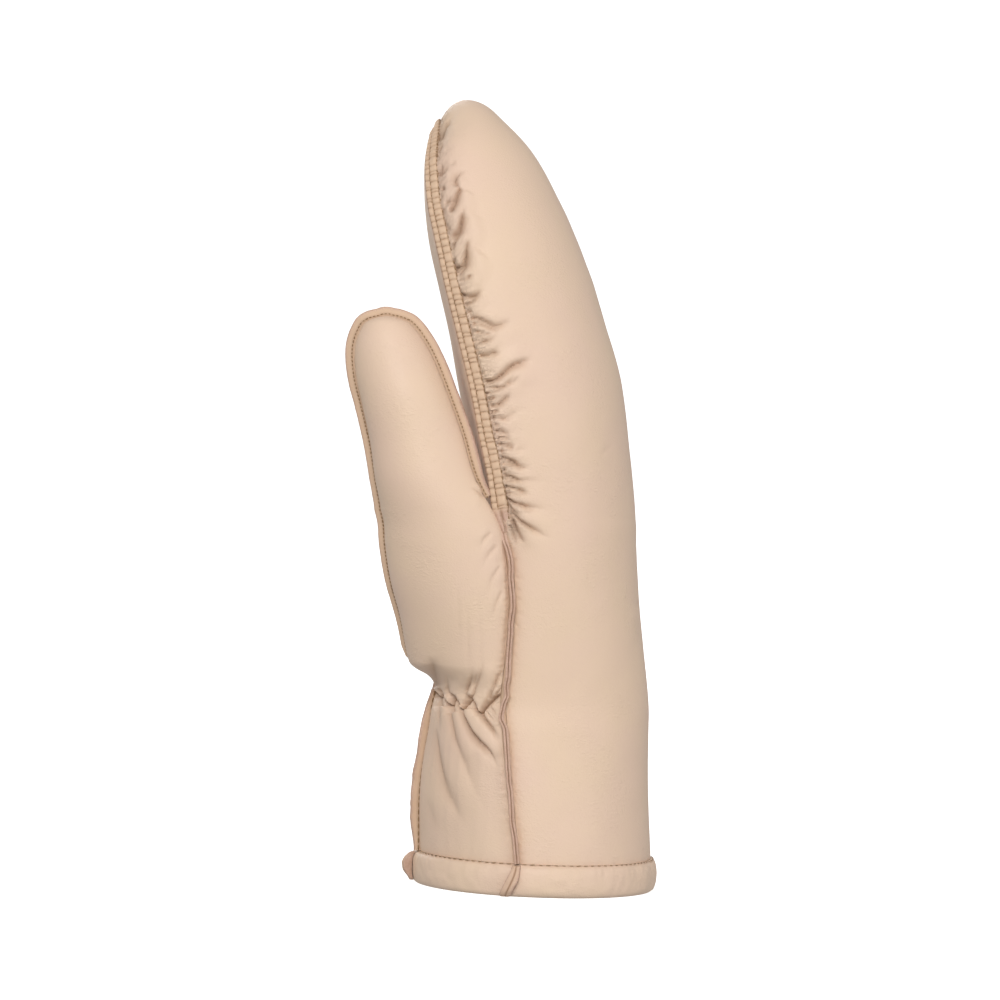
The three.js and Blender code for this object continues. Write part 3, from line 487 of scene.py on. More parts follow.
# The rim between a fine edge and a coarse one, as triangles
def joinEdges(fine, coarse, finePlaces, coarsePlaces, turned):
    faces = []
    i = j = 0
    while i < len(fine) - 1 or j < len(coarse) - 1:
        nextCoarse = coarsePlaces[j + 1] if j < len(coarse) - 1 else math.inf
        if i < len(fine) - 1 and finePlaces[i + 1] <= nextCoarse:
            face = (fine[i], fine[i + 1], coarse[j])
            i += 1
        else:
            face = (fine[i], coarse[j + 1], coarse[j])
            j += 1
        faces.append(face if turned else face[::-1])
    return faces


# A closed leather: a fine outer face, a coarser inner one and rims between them
# Closes an outer grid with an inner one, which keeps only every fourth row and column
def closedShell(outer, inner, every=4):
    rows, columns = outer.shape[:2]
    keptRows = sorted(set(range(0, rows, every)) | {rows - 1})
    keptColumns = sorted(set(range(0, columns, every)) | {columns - 1})
    innerGrid = inner[np.ix_(keptRows, keptColumns)]
    outerIndex = np.arange(rows * columns).reshape(rows, columns)
    innerRows, innerColumns = innerGrid.shape[:2]
    innerIndex = rows * columns + np.arange(innerRows * innerColumns).reshape(innerRows, innerColumns)
    faces = gridFaces(rows, columns)
    faces += gridFaces(*innerGrid.shape[:2], start=rows * columns, turned=True)
    allRows, allColumns = range(rows), range(columns)
    for end, side, turned in ((0, 1, False), (-1, 1, True), (0, 0, True), (-1, 0, False)):
        edges = [index.take(end, axis=1 - side).tolist() for index in (outerIndex, innerIndex)]
        faces += joinEdges(*edges, *((allColumns, keptColumns) if side else (allRows, keptRows)), turned)
    vertices = np.vstack([outer.reshape(-1, 3), innerGrid.reshape(-1, 3)])
    row, column = rows // 2, columns // 2
    middle = outer[row, column]
    facing = np.cross(outer[row, column + 1] - middle, outer[row + 1, column] - middle)
    if np.dot(facing, middle - inner[row, column]) < 0:
        faces = [face[::-1] for face in faces]
    return vertices, faces, len(vertices) - rows * columns


def gridNormals(grid):
    along = np.gradient(grid, axis=0)
    across = np.gradient(grid, axis=1)
    return unit(np.cross(across, along))


# Rows of points between two edges, spaced by their distance along the leather
def leatherGrid(design):
    places = design["places"]
    samples = np.linspace(0, 1, 361)
    fine = design["pointAt"](places[:, None] + 0 * samples[None], samples[None] + 0 * places[:, None])
    steps = np.linalg.norm(np.diff(fine, axis=1), axis=2)
    lengths = np.concatenate([np.zeros((len(places), 1)), np.cumsum(steps, axis=1)], axis=1)
    total = lengths[:, -1:]
    first = np.minimum(design["firstMargin"](places)[:, None], 0.25 * total)
    last = np.minimum(design["lastMargin"](places)[:, None], 0.25 * total)
    distances = mix(first, total - last, design["columns"][None, :])
    grid = np.empty(distances.shape + (3,))
    for row in range(len(places)):
        grid[row] = pointsAlong(distances[row], lengths[row], fine[row])
    return grid, distances, total


farAway = 99.0  # millimetres from the strip, where no fans show


# A leather from its design. The relief lifts its outer face, and beside its edges it faces the way that its
# neighbour does, so that the two keep their gap.
def leatherPiece(design):
    grid, distances, total = leatherGrid(design)
    places = design["places"]
    normals = gridNormals(grid) * design.get("sign", 1)
    directions = normals.copy()
    blendWidth = np.minimum(2 * wall, total / 2)
    for edge, fromEdge in ((design["firstEdge"], distances), (design["lastEdge"], total - distances)):
        shared, active = edge(places)
        weight = (1 - smooth(fromEdge, 0, blendWidth)) * active[:, None]
        directions = unit(directions + (shared[:, None, :] - directions) * weight[..., None])
    rise, creaseShade = design["relief"](grid, distances, total, places)
    alignment = np.maximum((directions * normals).sum(-1), 0.6)
    outer = grid + directions * (rise / alignment)[..., None]
    inner = grid - directions * wall
    vertices, faces, hidden = closedShell(outer, inner)
    alongSeam, fromStrip = np.zeros(creaseShade.size), np.full(creaseShade.size, farAway)
    if design.get("fansOut"):
        alongSeam, fromStrip = seamMap(grid)

    def withInner(values, filler=0.0):
        return np.concatenate([values.ravel(), np.full(hidden, filler)])

    # A vertex attribute carries the painted shade of creases and seams to the finish's colour
    attributes = {
        "alongSeam": withInner(alongSeam) * 0.001, "fromStrip": withInner(fromStrip, farAway) * 0.001,
        "creaseShade": withInner(creaseShade), "inside": withInner(0 * creaseShade, 1.0),
    }
    piece = makePiece(design["name"], vertices, faces, "leather", leather, attributes, smoothAngle=50)
    print(design["name"], len(faces), "faces")
    return piece


# Columns that lie closer together beside the seams
def edgeColumns(count, closeness):
    u = np.linspace(0, 1, count // 2 + 1)
    half = 0.5 * (closeness * u + (1 - closeness) * u**2.3)
    return np.concatenate([half, 1 - half[-2::-1]])


# Shader maths: an expression on values adds its Math nodes
class Value:
    def __init__(self, tree, socket):
        self.tree = tree
        self.socket = socket

    def math(self, operation, other=0.0, swapped=False):
        first, second = (other, self) if swapped else (self, other)
        node = addNode(self.tree, "ShaderNodeMath", {"operation": operation}, {0: first, 1: second})
        return Value(self.tree, node.outputs[0])

    def __add__(self, other):
        return self.math("ADD", other)

    def __radd__(self, other):
        return self.math("ADD", other, True)

    def __sub__(self, other):
        return self.math("SUBTRACT", other)

    def __rsub__(self, other):
        return self.math("SUBTRACT", other, True)

    def __mul__(self, other):
        return self.math("MULTIPLY", other)

    def __rmul__(self, other):
        return self.math("MULTIPLY", other, True)

    def clamped(self):
        return self.math("MINIMUM", 1.0).math("MAXIMUM", 0.0)


def fillSockets(tree, node, values):
    for key, value in values.items():
        source = value.socket if isinstance(value, Value) else value
        if isinstance(source, bpy.types.NodeSocket):
            tree.links.new(source, node.inputs[key])
        else:
            node.inputs[key].default_value = source


# A node of a tree: its settings first, then the values or links of its sockets
def addNode(tree, kind, settings=None, values=None):
    node = tree.nodes.new(kind)
    for key, value in (settings or {}).items():
        setattr(node, key, value)
    fillSockets(tree, node, values or {})
    return node


class Finish:
    def __init__(self, name):
        self.material = bpy.data.materials.new(name)
        self.material.use_nodes = True
        self.tree = self.material.node_tree
        self.shader = self.tree.nodes["Principled BSDF"]
        self.place = self.node("ShaderNodeTexCoord").outputs["Object"]

    def node(self, kind, settings=None, values=None):
        return addNode(self.tree, kind, settings, values)

    def look(self, values):
        fillSockets(self.tree, self.shader, values)

    def value(self, socket):
        return Value(self.tree, socket)

    def attribute(self, name):
        return self.value(self.node("ShaderNodeAttribute", {"attribute_name": name}).outputs["Fac"])

    def noise(self, cell, detail=2, roughness=0.5, stretch=None):
        place = self.place
        if stretch:
            place = self.node("ShaderNodeMapping", None, {"Vector": self.place, "Scale": stretch}).outputs[0]
        node = self.node("ShaderNodeTexNoise", None, {
            "Vector": place, "Scale": 1000 / cell, "Detail": detail, "Roughness": roughness,
        })
        return self.value(node.outputs["Fac"])

    def cells(self, size, feature="F1"):
        node = self.node("ShaderNodeTexVoronoi", {"feature": feature}, {
            "Vector": self.place, "Scale": 1000 / size,
        })
        return self.value(node.outputs["Distance"])

    def blend(self, share, a, b):
        return self.node("ShaderNodeMix", {"data_type": "RGBA"}, {0: share, 6: a, 7: b}).outputs[2]

    def bump(self, strength, distance, height):
        return self.node("ShaderNodeBump", None, {
            "Strength": strength, "Distance": distance, "Height": height,
        }).outputs[0]


def linear(red, green, blue):
    def channel(c):
        c = c / 255
        return c / 12.92 if c <= 0.04045 else ((c + 0.055) / 1.055) ** 2.4
    return (channel(red), channel(green), channel(blue), 1.0)


# Leather colours: warm and pink tones mixed at random, the inside's colour, and a deep brown that is the
# painted shade of creases, seams and recesses
leatherFinish = {
    "warm": linear(222, 196, 170), "pink": linear(221, 193, 172), "deep": linear(138, 104, 76),
    "inner": linear(214, 196, 178), "roughness": 0.46, "sheen": 0.26, "creaseShadeShare": 0.72,
    "bumpDepth": 0.00016, "grain": 0.55, "pores": 0.3, "wrinkles": 2.0, "patches": 22,
    "fans": (900.0, 170.0), "fanFade": 75.0,
}


def makeLeather():
    finish = Finish("leather")
    f = leatherFinish
    broad = finish.noise(26, 2)
    mottle = finish.noise(2.2, 3)
    tint = finish.blend(((broad - 0.5) * 2.2 + 0.5 + (mottle - 0.5) * 0.5).clamped(), f["warm"], f["pink"])
    # Painted shade: the base colour turns towards the deep brown where creases, seams and recesses lie
    creaseShade = finish.attribute("creaseShade")
    creaseShaded = finish.blend((creaseShade * f["creaseShadeShare"]).clamped(), tint, f["deep"])
    colour = finish.blend(finish.attribute("inside"), creaseShaded, f["inner"])
    grain = finish.cells(f["grain"], "SMOOTH_F1")
    pores = finish.noise(f["pores"], 2)
    wrinkles = (finish.noise(f["wrinkles"], 3, 0.6, (0.75, 0.75, 1.35)) - 0.5).math("ABSOLUTE")
    patch = ((finish.noise(f["patches"], 2) - 0.42) * 5).clamped()
    fromStrip = finish.attribute("fromStrip")
    fansAlong, fansOut = f["fans"]
    fanPlace = finish.node("ShaderNodeCombineXYZ", None, {
        "X": finish.attribute("alongSeam") * fansAlong, "Y": fromStrip * fansOut,
    }).outputs[0]
    fanNoise = finish.node("ShaderNodeTexNoise", None, {
        "Vector": fanPlace, "Scale": 1.0, "Detail": 3, "Roughness": 0.6,
    })
    fans = (finish.value(fanNoise.outputs["Fac"]) - 0.5).math("ABSOLUTE")
    fanFade = (1.0 - fromStrip * f["fanFade"]).clamped()
    height = grain * 0.4 + pores * 0.3 + wrinkles * patch * 3.2 + fans * fanFade * fanFade * 14.0
    finish.look({
        "Base Color": colour,
        "Roughness": f["roughness"] + (mottle - 0.5) * 0.12 + creaseShade * 0.15,
        "Normal": finish.bump(0.9, f["bumpDepth"], height),
        "Specular IOR Level": f["sheen"],
    })
    return finish.material


edgeFinish = {
    "face": linear(212, 182, 154), "raw": linear(208, 177, 159), "rawDark": linear(172, 137, 114),
    "roughness": 0.6, "rawRoughness": 0.15, "fibres": 0.7, "patches": 6, "cells": 0.5, "bumpDepth": 0.0001,
}


def makeEdge():
    finish = Finish("leather_edge")
    f = edgeFinish
    fibres = finish.noise(f["fibres"], 4, 0.65)
    patches = finish.noise(f["patches"], 2)
    darkShare = ((fibres - 0.5) * 1.3 + 0.45 + (patches - 0.5) * 0.8).clamped()
    rawColour = finish.blend(darkShare, f["raw"], f["rawDark"])
    raw = finish.attribute("raw")
    mixed = finish.blend(raw.clamped(), f["face"], rawColour)
    creaseShade = finish.attribute("creaseShade")
    # Painted shade: the edge leather turns towards the deep brown in creases, dips and at the welts' feet
    colour = finish.blend((creaseShade * 0.7).clamped(), mixed, leatherFinish["deep"])
    finish.look({
        "Base Color": colour,
        "Roughness": f["roughness"] + raw * f["rawRoughness"],
        "Normal": finish.bump(0.6, f["bumpDepth"], fibres + finish.cells(f["cells"]) * 0.4),
        "Specular IOR Level": 0.35,
    })
    return finish.material


def makeThread():
    finish = Finish("thread")
    twist = finish.noise(0.35, 2)
    colour = finish.blend(twist, linear(164, 134, 100), linear(126, 98, 70))
    finish.look({"Base Color": colour, "Roughness": 0.7, "Specular IOR Level": 0.3})
    return finish.material


leather = makeLeather()
leatherEdge = makeEdge()
thread = makeThread()
print("finishes made")

strip = {
    "width": 5.0, "edge": 0.25, "thickness": 1.3, "rise": 0.45, "pitch": 2.28, "firstBand": 0.4,
    "bandColumns": (12, 15), "slant": 0.25, "lipPlace": 0.55, "seed": 12,
}
seamPlaces = np.linspace(stripStart, 3, 500)
seamLine = np.vstack([seamPoint(seamPlaces, -1), seamPoint(seamPlaces, 1)[::-1]])


def fromSeamLine(points):
    return nearestOf(points.reshape(-1, 3), seamLine[::3])[1].reshape(points.shape[:-1])


# Folds of the back leather beside the finger seam, charted on the photograph
seamFolds = [
    fold(0.9, (451, 119), (444, 127), (440, 135), (436, 140), side=1, ends=(0.2, 0.3)),
    fold(0.7, (441, 163), (441, 171), (438, 175), ends=(0.3, 0.2)),
    fold(0.7, (450, 163), (446, 169), (442, 173), (438, 175), ends=(0.4, 0.2)),
    fold(0.3, (457, 161), (451, 166), ends=(0.4, 0.4)),
    fold(0.9, (469, 169), (459, 175), (456, 181), (459, 188), side=-1, ends=(0.5, 0.1)),
    fold(1.5, (460, 188), (457, 195), (455, 201), (452, 208), (450, 214), width=1.0, side=0.6,
         ends=(0.05, 0.2), lip=0.7),
    fold(0.8, (444, 204), (450, 202), (456, 199), ends=(0.2, 0.2)),
    fold(1.0, (444, 187), (443, 191), width=1.1, ends=(0.3, 0.3)),
    fold(1.7, (467, 203), (463, 212), (461.5, 219), (460, 226), (459, 231), (456, 234), (449, 236),
         width=1.1, side=0.6, ends=(0.4, 0.15), lip=0.8),
    fold(1.0, (459, 232), (456, 240), (454, 246), (453, 253), ends=(0.1, 0.3), lip=0.6),
    fold(1.5, (475, 240), (469, 241.5), (467, 246), (466, 253), (465, 261), (463, 266), (455, 268),
         (450, 270), width=1.1, side=0.6, ends=(0.35, 0.15), lip=0.8),
    fold(0.9, (465, 266), (462, 272), (458, 277), ends=(0.1, 0.3)),
    fold(0.9, (457, 258), (454, 262), (449, 266), ends=(0.2, 0.2)),
    fold(0.9, (475, 273), (470, 277), (465, 279), (459, 280), ends=(0.4, 0.1)),
    fold(0.5, (471, 275), (468, 280), ends=(0.4, 0.3)),
    fold(1.2, (482, 288), (477, 294), (471, 296.6), (464, 295.4), (461, 292), side=0.5, ends=(0.35, 0.1)),
    fold(0.9, (478, 295), (471, 302), (465, 306), side=-0.5, ends=(0.4, 0.1)),
    fold(0.8, (466, 311), (476, 311.5), ends=(0.05, 0.6)),
    fold(1.1, (470, 318), (477, 318), (486, 322), (495, 326), (506, 322), (511, 315), side=-0.4,
         ends=(0.03, 0.5)),
    fold(0.9, (472, 324), (480, 323.7), (486, 326), (494, 329), (498, 328), ends=(0.03, 0.4)),
    fold(0.8, (473, 331), (480, 332.4), (488, 334), (495, 332), ends=(0.03, 0.4)),
    fold(0.7, (475, 337), (481, 335.7), (485, 335), ends=(0.03, 0.6)),
    fold(1.0, (477, 344), (484, 341.5), (491, 339), (498, 330), ends=(0.03, 0.5)),
    fold(1.0, (479, 356), (486, 355), (494, 353), (501, 350.6), ends=(0.03, 0.4)),
    fold(1.5, (484, 381), (493, 380), (502, 374), (510, 367), (519, 363), (527, 360), (534, 356),
         width=0.95, side=-0.6, ends=(0.03, 0.45), lip=0.7),
    fold(1.0, (486, 387.5), (494, 387), (500, 388), (506, 385), (512, 376), (515, 368), ends=(0.03, 0.5)),
    fold(0.6, (506, 385), (515, 380), (523, 370), ends=(0.1, 0.6)),
    fold(0.9, (486, 393), (493, 392), (498, 390), (502, 388), ends=(0.03, 0.4)),
    fold(0.9, (488, 400), (493, 398.7), (497, 397), ends=(0.03, 0.5)),
    fold(1.1, (490, 406), (498, 404.5), (503, 400), (508, 396), (511, 395), side=-0.4, ends=(0.03, 0.5)),
    fold(0.8, (491, 413), (496, 411), (501, 409), ends=(0.03, 0.5)),
    fold(0.7, (492, 418), (498, 417), (505, 418.5), (519, 410), (535, 408), ends=(0.03, 0.8)),
    fold(0.8, (494, 425), (501, 425), ends=(0.03, 0.6)),
    fold(0.9, (495, 431), (501, 431), (511, 437), ends=(0.03, 0.5)),
    fold(0.9, (497, 438), (505, 438), (512, 439.5), ends=(0.03, 0.5)),
    fold(1.0, (498, 444), (505, 445), (511, 447), (515, 447.5), side=-0.4, ends=(0.03, 0.4)),
    fold(0.8, (500, 451), (508, 452), ends=(0.03, 0.6)),
    fold(0.4, (513, 451), (520, 449), (530, 449), ends=(0.3, 0.7)),
    fold(1.3, (501, 457), (506, 458), (513, 461.5), (518, 466), (524, 467.5), (534, 468), side=-0.5,
         ends=(0.03, 0.5), lip=0.6),
    fold(0.9, (502, 463), (510, 463.5), (516, 466), ends=(0.03, 0.4)),
    fold(0.8, (503, 469), (509, 470), ends=(0.03, 0.6)),
    fold(1.4, (503.5, 474.7), (510, 476), (515, 478.5), (520, 480.5), (530, 480), (550, 481), width=0.9,
         side=-0.5, ends=(0.03, 0.65), lip=0.6),
    fold(0.7, (504.6, 479.3), (511, 481.4), (517, 480), ends=(0.03, 0.4)),
    fold(1.2, (504.6, 486), (513, 487.6), (520, 490), (525.5, 493), (532, 495), side=-0.4,
         ends=(0.03, 0.5)),
    fold(0.8, (505.7, 492), (515, 493.8), (526, 495), ends=(0.03, 0.6)),
    fold(1.2, (507, 498), (513, 501.7), (521, 504.6), (528, 507), (538, 508), (553, 509.5), side=-0.4,
         ends=(0.03, 0.65), lip=0.6),
    fold(0.9, (507, 503), (512, 509), (518, 513), (524, 516), ends=(0.03, 0.5)),
    fold(1.1, (509, 509.6), (515, 515.4), (521, 521), (530, 527), (538, 532), (545, 536), (555, 539),
         side=-0.3, ends=(0.03, 0.65), lip=0.6),
    fold(1.1, (509, 514), (513, 522), (517, 533), (520.5, 538.6), ends=(0.03, 0.5)),
    fold(0.9, (512, 518), (515.5, 528), (521, 539), (527, 544), ends=(0.1, 0.5)),
    fold(0.9, (510, 524.5), (513, 532), (515, 540), (515, 549), ends=(0.03, 0.6)),
    fold(0.7, (636, 600), (642, 603), (650, 602), width=1.2, ends=(0.5, 0.1)),
    fold(0.12, (599, 456), (606, 450), (614, 442), width=0.5, ends=(0.4, 0.5)),
    fold(-0.75, (466, 176), (460, 184), (454, 194), (449, 205), width=1.5, ends=(0.4, 0.25), lip=0,
         spread=0.2),
    fold(-0.8, (467, 207), (461, 217), (456, 226), (451, 231), width=1.5, ends=(0.4, 0.25), lip=0,
         spread=0.2),
    fold(-0.7, (474, 243), (466, 249), (460, 257), (456, 264), width=1.5, ends=(0.4, 0.25), lip=0,
         spread=0.2),
    fold(-0.5, (478, 275), (472, 282), (466, 290), width=1.3, ends=(0.4, 0.25), lip=0),
]


# Which way the small puckers run beside the seam: down is the photograph's row, turn the heading in degrees
puckerHeadings = table(
    "down turn",
    (140, -55), (200, -50), (270, -35), (310, -12), (345, -14), (385, -14), (420, 0), (450, 10), (480, 14),
    (500, 28), (520, 52), (545, 75),
)
puckers = {"reach": (7, 30), "depth": (0.15, 0.6), "width": 0.42, "spacing": 1.5, "seed": 5}


def heading(degrees):
    return np.array([math.cos(math.radians(degrees)), math.sin(math.radians(degrees))])


def seamPuckers(row):
    pick = np.random.default_rng(puckers["seed"])
    folds = []
    for place in row:
        turn = np.interp(place[1], puckerHeadings["down"], puckerHeadings["turn"]) + pick.normal(0, 9)
        length = pick.uniform(*puckers["reach"])
        bend = turn + pick.normal(0, 16)
        middle = place + 0.5 * length * heading(turn)
        end = middle + 0.5 * length * heading(bend)
        depth = pick.uniform(*puckers["depth"])
        width = puckers["width"] * pick.uniform(0.8, 1.3)
        folds.append(fold(depth, place, middle, end, width=width, ends=(0.02, 0.85)))
    return folds


# Points of the back leather at a distance from the finger seam, square to it
def besideSeam(at, side, distance):
    edge = np.where(side < 0, 0.0, 1.0)
    start = backLeatherPoint(at, edge)
    step = 0.004
    along = unit(backLeatherPoint(np.minimum(at + step, 3), edge) - backLeatherPoint(at - step, edge))
    inward = backLeatherPoint(at, np.abs(edge - 0.01)) - start
    square = unit(inward - along * (inward * along).sum(-1, keepdims=True))
    target = start + square * distance
    best = start
    share = edge.copy()
    place = at.copy()
    stride = np.full(at.shape, 0.03)
    gap = np.linalg.norm(best - target, axis=-1)
    for _ in range(44):
        moved = np.zeros(at.shape, bool)
        for placeTurn, shareTurn in ((1, 0), (-1, 0), (0, 1), (0, -1)):
            nextPlace = np.clip(place + placeTurn * stride, 0, 3)
            nextShare = np.clip(share + shareTurn * stride, 0, 1)
            candidate = backLeatherPoint(nextPlace, nextShare)
            nextGap = np.linalg.norm(candidate - target, axis=-1)
            better = nextGap < gap - 1e-7
            best = np.where(better[:, None], candidate, best)
            place = np.where(better, nextPlace, place)
            share = np.where(better, nextShare, share)
            gap = np.where(better, nextGap, gap)
            moved |= better
        stride = np.where(moved, stride, stride / 2)
    return best


# The finger seam as a track: evenly spaced places from the crotch over the fingertips and down the far side
def seamTrack(spacing):
    reach = 3 - stripStart
    t = np.linspace(-reach, reach, 3001)
    side = np.where(t < 0, -1.0, 1.0)
    points = seamPoint(3 - np.abs(t), 1) * vector(1, side, 1)
    lengths = lengthsAlong(points)
    count = int(lengths[-1] / spacing)
    distances = (np.arange(count) + 0.5) * lengths[-1] / count
    place = np.interp(distances, lengths, t)
    return 3 - np.abs(place), np.where(place < 0, -1.0, 1.0), distances


trackPlaces, trackSides, trackLengths = seamTrack(0.24)


# Smooths a line with a moving window of its points
def evened(points, window):
    kernel = np.hanning(window + 2)[1:-1]
    kernel /= kernel.sum()
    padded = np.pad(points, ((window // 2, window // 2), (0, 0)), mode="edge")
    return np.stack([np.convolve(column, kernel, mode="valid") for column in padded.T], axis=1)


trackEdge, trackFar = (
    evened(besideSeam(trackPlaces, trackSides, strip["edge"] + reach), 15) for reach in (0, strip["width"])
)
# Towards the thumb's crotch the strip leaves the seam and ends in a narrow folded lip
stripEnd = table(
    "down edge far",
    (435, 0, 0), (455, 0, -0.5), (475, 0.3, 0), (490, 1.1, 0.6), (510, 2.0, 1.0), (522, 1.7, 2),
    (534, 0.6, 3.6),
)
inwardNow = unit(trackFar - trackEdge)
downNow = mirroredPlace(trackEdge)[:, 1]
trackEdge = trackEdge - inwardNow * np.interp(downNow, stripEnd["down"], stripEnd["edge"])[:, None]
trackFar = trackFar - inwardNow * np.interp(downNow, stripEnd["down"], stripEnd["far"])[:, None]
trackMiddle = mix(trackEdge, trackFar, strip["firstBand"])
trackLip = smooth(downNow, 505, 516)
print("finger seam", round(float(trackLengths[-1])), "mm")

heartOfHand = np.array([0, 0, 130])
seamOutward = unit(np.cross(unit(np.gradient(trackEdge, axis=0)), unit(trackFar - trackEdge)))
if np.median((seamOutward * (trackMiddle - heartOfHand)).sum(1)) < 0:
    seamOutward = -seamOutward

inView = trackSides < 0
puckerPlaces = np.arange(4, trackLengths[inView][-1], puckers["spacing"])
puckerRow = pointsAlong(puckerPlaces, trackLengths[inView], photoPlace(trackFar[inView]))
allSeamFolds = seamFolds + seamPuckers(puckerRow)


# Short puckers square to the hand's side seam, where it is sewn below the strip
sidePuckers = {"down": (560, 858), "gap": (1.6, 5.2), "meanGap": 3.4, "start": 3.0, "reach": (4, 15)}
sideSeamShares = np.linspace(0, stripStart, 200)
sideSeamRows = photoPlace(seamPoint(sideSeamShares, -1))[:, 1]


def sideSeamPuckers(right, seed):
    pick = np.random.default_rng(seed)
    folds = []
    top, foot = sidePuckers["down"]
    gaps = pick.uniform(*sidePuckers["gap"], int((foot - top) / sidePuckers["meanGap"]))
    for row in np.cumsum(np.concatenate([[top], gaps])):
        place = photoPlace(seamPoint(np.interp(-row, -sideSeamRows, sideSeamShares), -1))
        start = place + np.array([right * sidePuckers["start"], pick.normal(0, 0.6)])
        turn = pick.normal(0, 22)
        end = start + right * pick.uniform(*sidePuckers["reach"]) * heading(turn)
        depth = pick.uniform(0.03, 0.26)
        width = pick.uniform(0.28, 0.5)
        folds.append(fold(depth, start, end, width=width, ends=(0.02, 0.9), lip=0.25))
    return folds


# How near the leather is to the hem, 1 at its edge
def nearHem(grid, reach=1.6):
    return np.exp(-(grid[..., 2] - hemHeight) / reach)


def backRelief(grid, distances, total, places):
    nearEdge = np.minimum(distances, total - distances)
    fromSeam = nearEdge.copy()
    top = places > 2.7
    measured = fromSeamLine(grid[top])
    weight = smooth(places[top], 2.7, 2.8)[:, None]
    fromSeam[top] = mix(nearEdge[top], np.minimum(measured, nearEdge[top]), weight)
    onFinger = smooth(places, 1.96, 2.05)[:, None]
    stripReach = strip["edge"] + strip["width"]
    clear = smooth(fromSeam, stripReach - 1.3, stripReach + 0.05)
    recess = (strip["thickness"] - strip["rise"] + pieceGap) * onFinger * (1 - clear)
    pixels = mirroredPlace(grid).reshape(-1, 2)
    rise, creaseShade = foldRelief(pixels, allSeamFolds)
    sideRise, sideCreaseShade = foldRelief(pixels, sideSeamPuckers(1, 3))
    awayFromMiddle = smooth(np.abs(grid[..., 1]), 3, 10)
    rise = (rise + sideRise).reshape(fromSeam.shape) * awayFromMiddle
    creaseShade = np.maximum(creaseShade, sideCreaseShade).reshape(fromSeam.shape) * awayFromMiddle
    besideWelt = (1 - onFinger) * np.exp(-nearEdge / 1.4)
    tuckIn = onFinger * np.exp(-np.maximum(fromSeam - stripReach, 0) / 0.8)
    rise = softLimit(rise, 2.3, 1.3) * mix(1, clear, onFinger)
    creaseShade = creaseShade * mix(1, clear, onFinger)
    soft = 0.4 * softNoise(grid, 24, 1) + 0.1 * softNoise(grid, 8, 2)
    soft = soft * smooth(nearEdge, 2, 14)
    hemPuckers = 0.22 * nearHem(grid, 3) * softNoise(grid * np.array([1, 1, 0.2]), 2.6, 4)
    # Painted shade beside the side welts and where the leather tucks under the strip
    creaseShade = np.maximum(creaseShade, 0.3 * besideWelt + 0.2 * tuckIn)
    return rise - recess - 0.9 * besideWelt - 0.25 * tuckIn + soft - 0.35 * nearHem(grid) + hemPuckers, creaseShade


# Places on the back leather along the finger seam, skewed with the puckers, and away from the strip
def seamMap(points):
    flat = points.reshape(-1, 3)
    nearest, gap = nearestOf(flat, trackFar[::4])
    turn = np.interp(mirroredPlace(flat)[:, 1], puckerHeadings["down"], puckerHeadings["turn"])
    skew = np.tan(np.radians(np.clip(turn - 8, -55, 55)))
    travel = np.where(flat[:, 1] < 0, 1, -1)
    return trackLengths[::4][nearest] + gap * skew * travel, gap


def weltMargin(places):
    return np.interp(places, [stripStart - 0.06, stripStart], [1.0, 0.25])


def backEdges(side):
    def edge(places):
        active = (places >= 2) if side < 0 else (places > stripStart - 0.15)
        return cornerDirection(places, side), active.astype(float)
    return edge


def along(*stretches):
    parts = [np.linspace(a, b, count, endpoint=False) for a, b, count in stretches]
    return np.concatenate(parts + [[stretches[-1][1]]])


backLeather = leatherPiece({
    "name": "backLeather", "pointAt": backLeatherPoint, "fansOut": True,
    "places": along((0, 1, 80), (1, 1.85, 85), (1.85, 3, 330)),
    "columns": edgeColumns(180, 0.32), "firstMargin": weltMargin, "lastMargin": weltMargin,
    "firstEdge": backEdges(-1), "lastEdge": backEdges(1), "relief": backRelief,
})

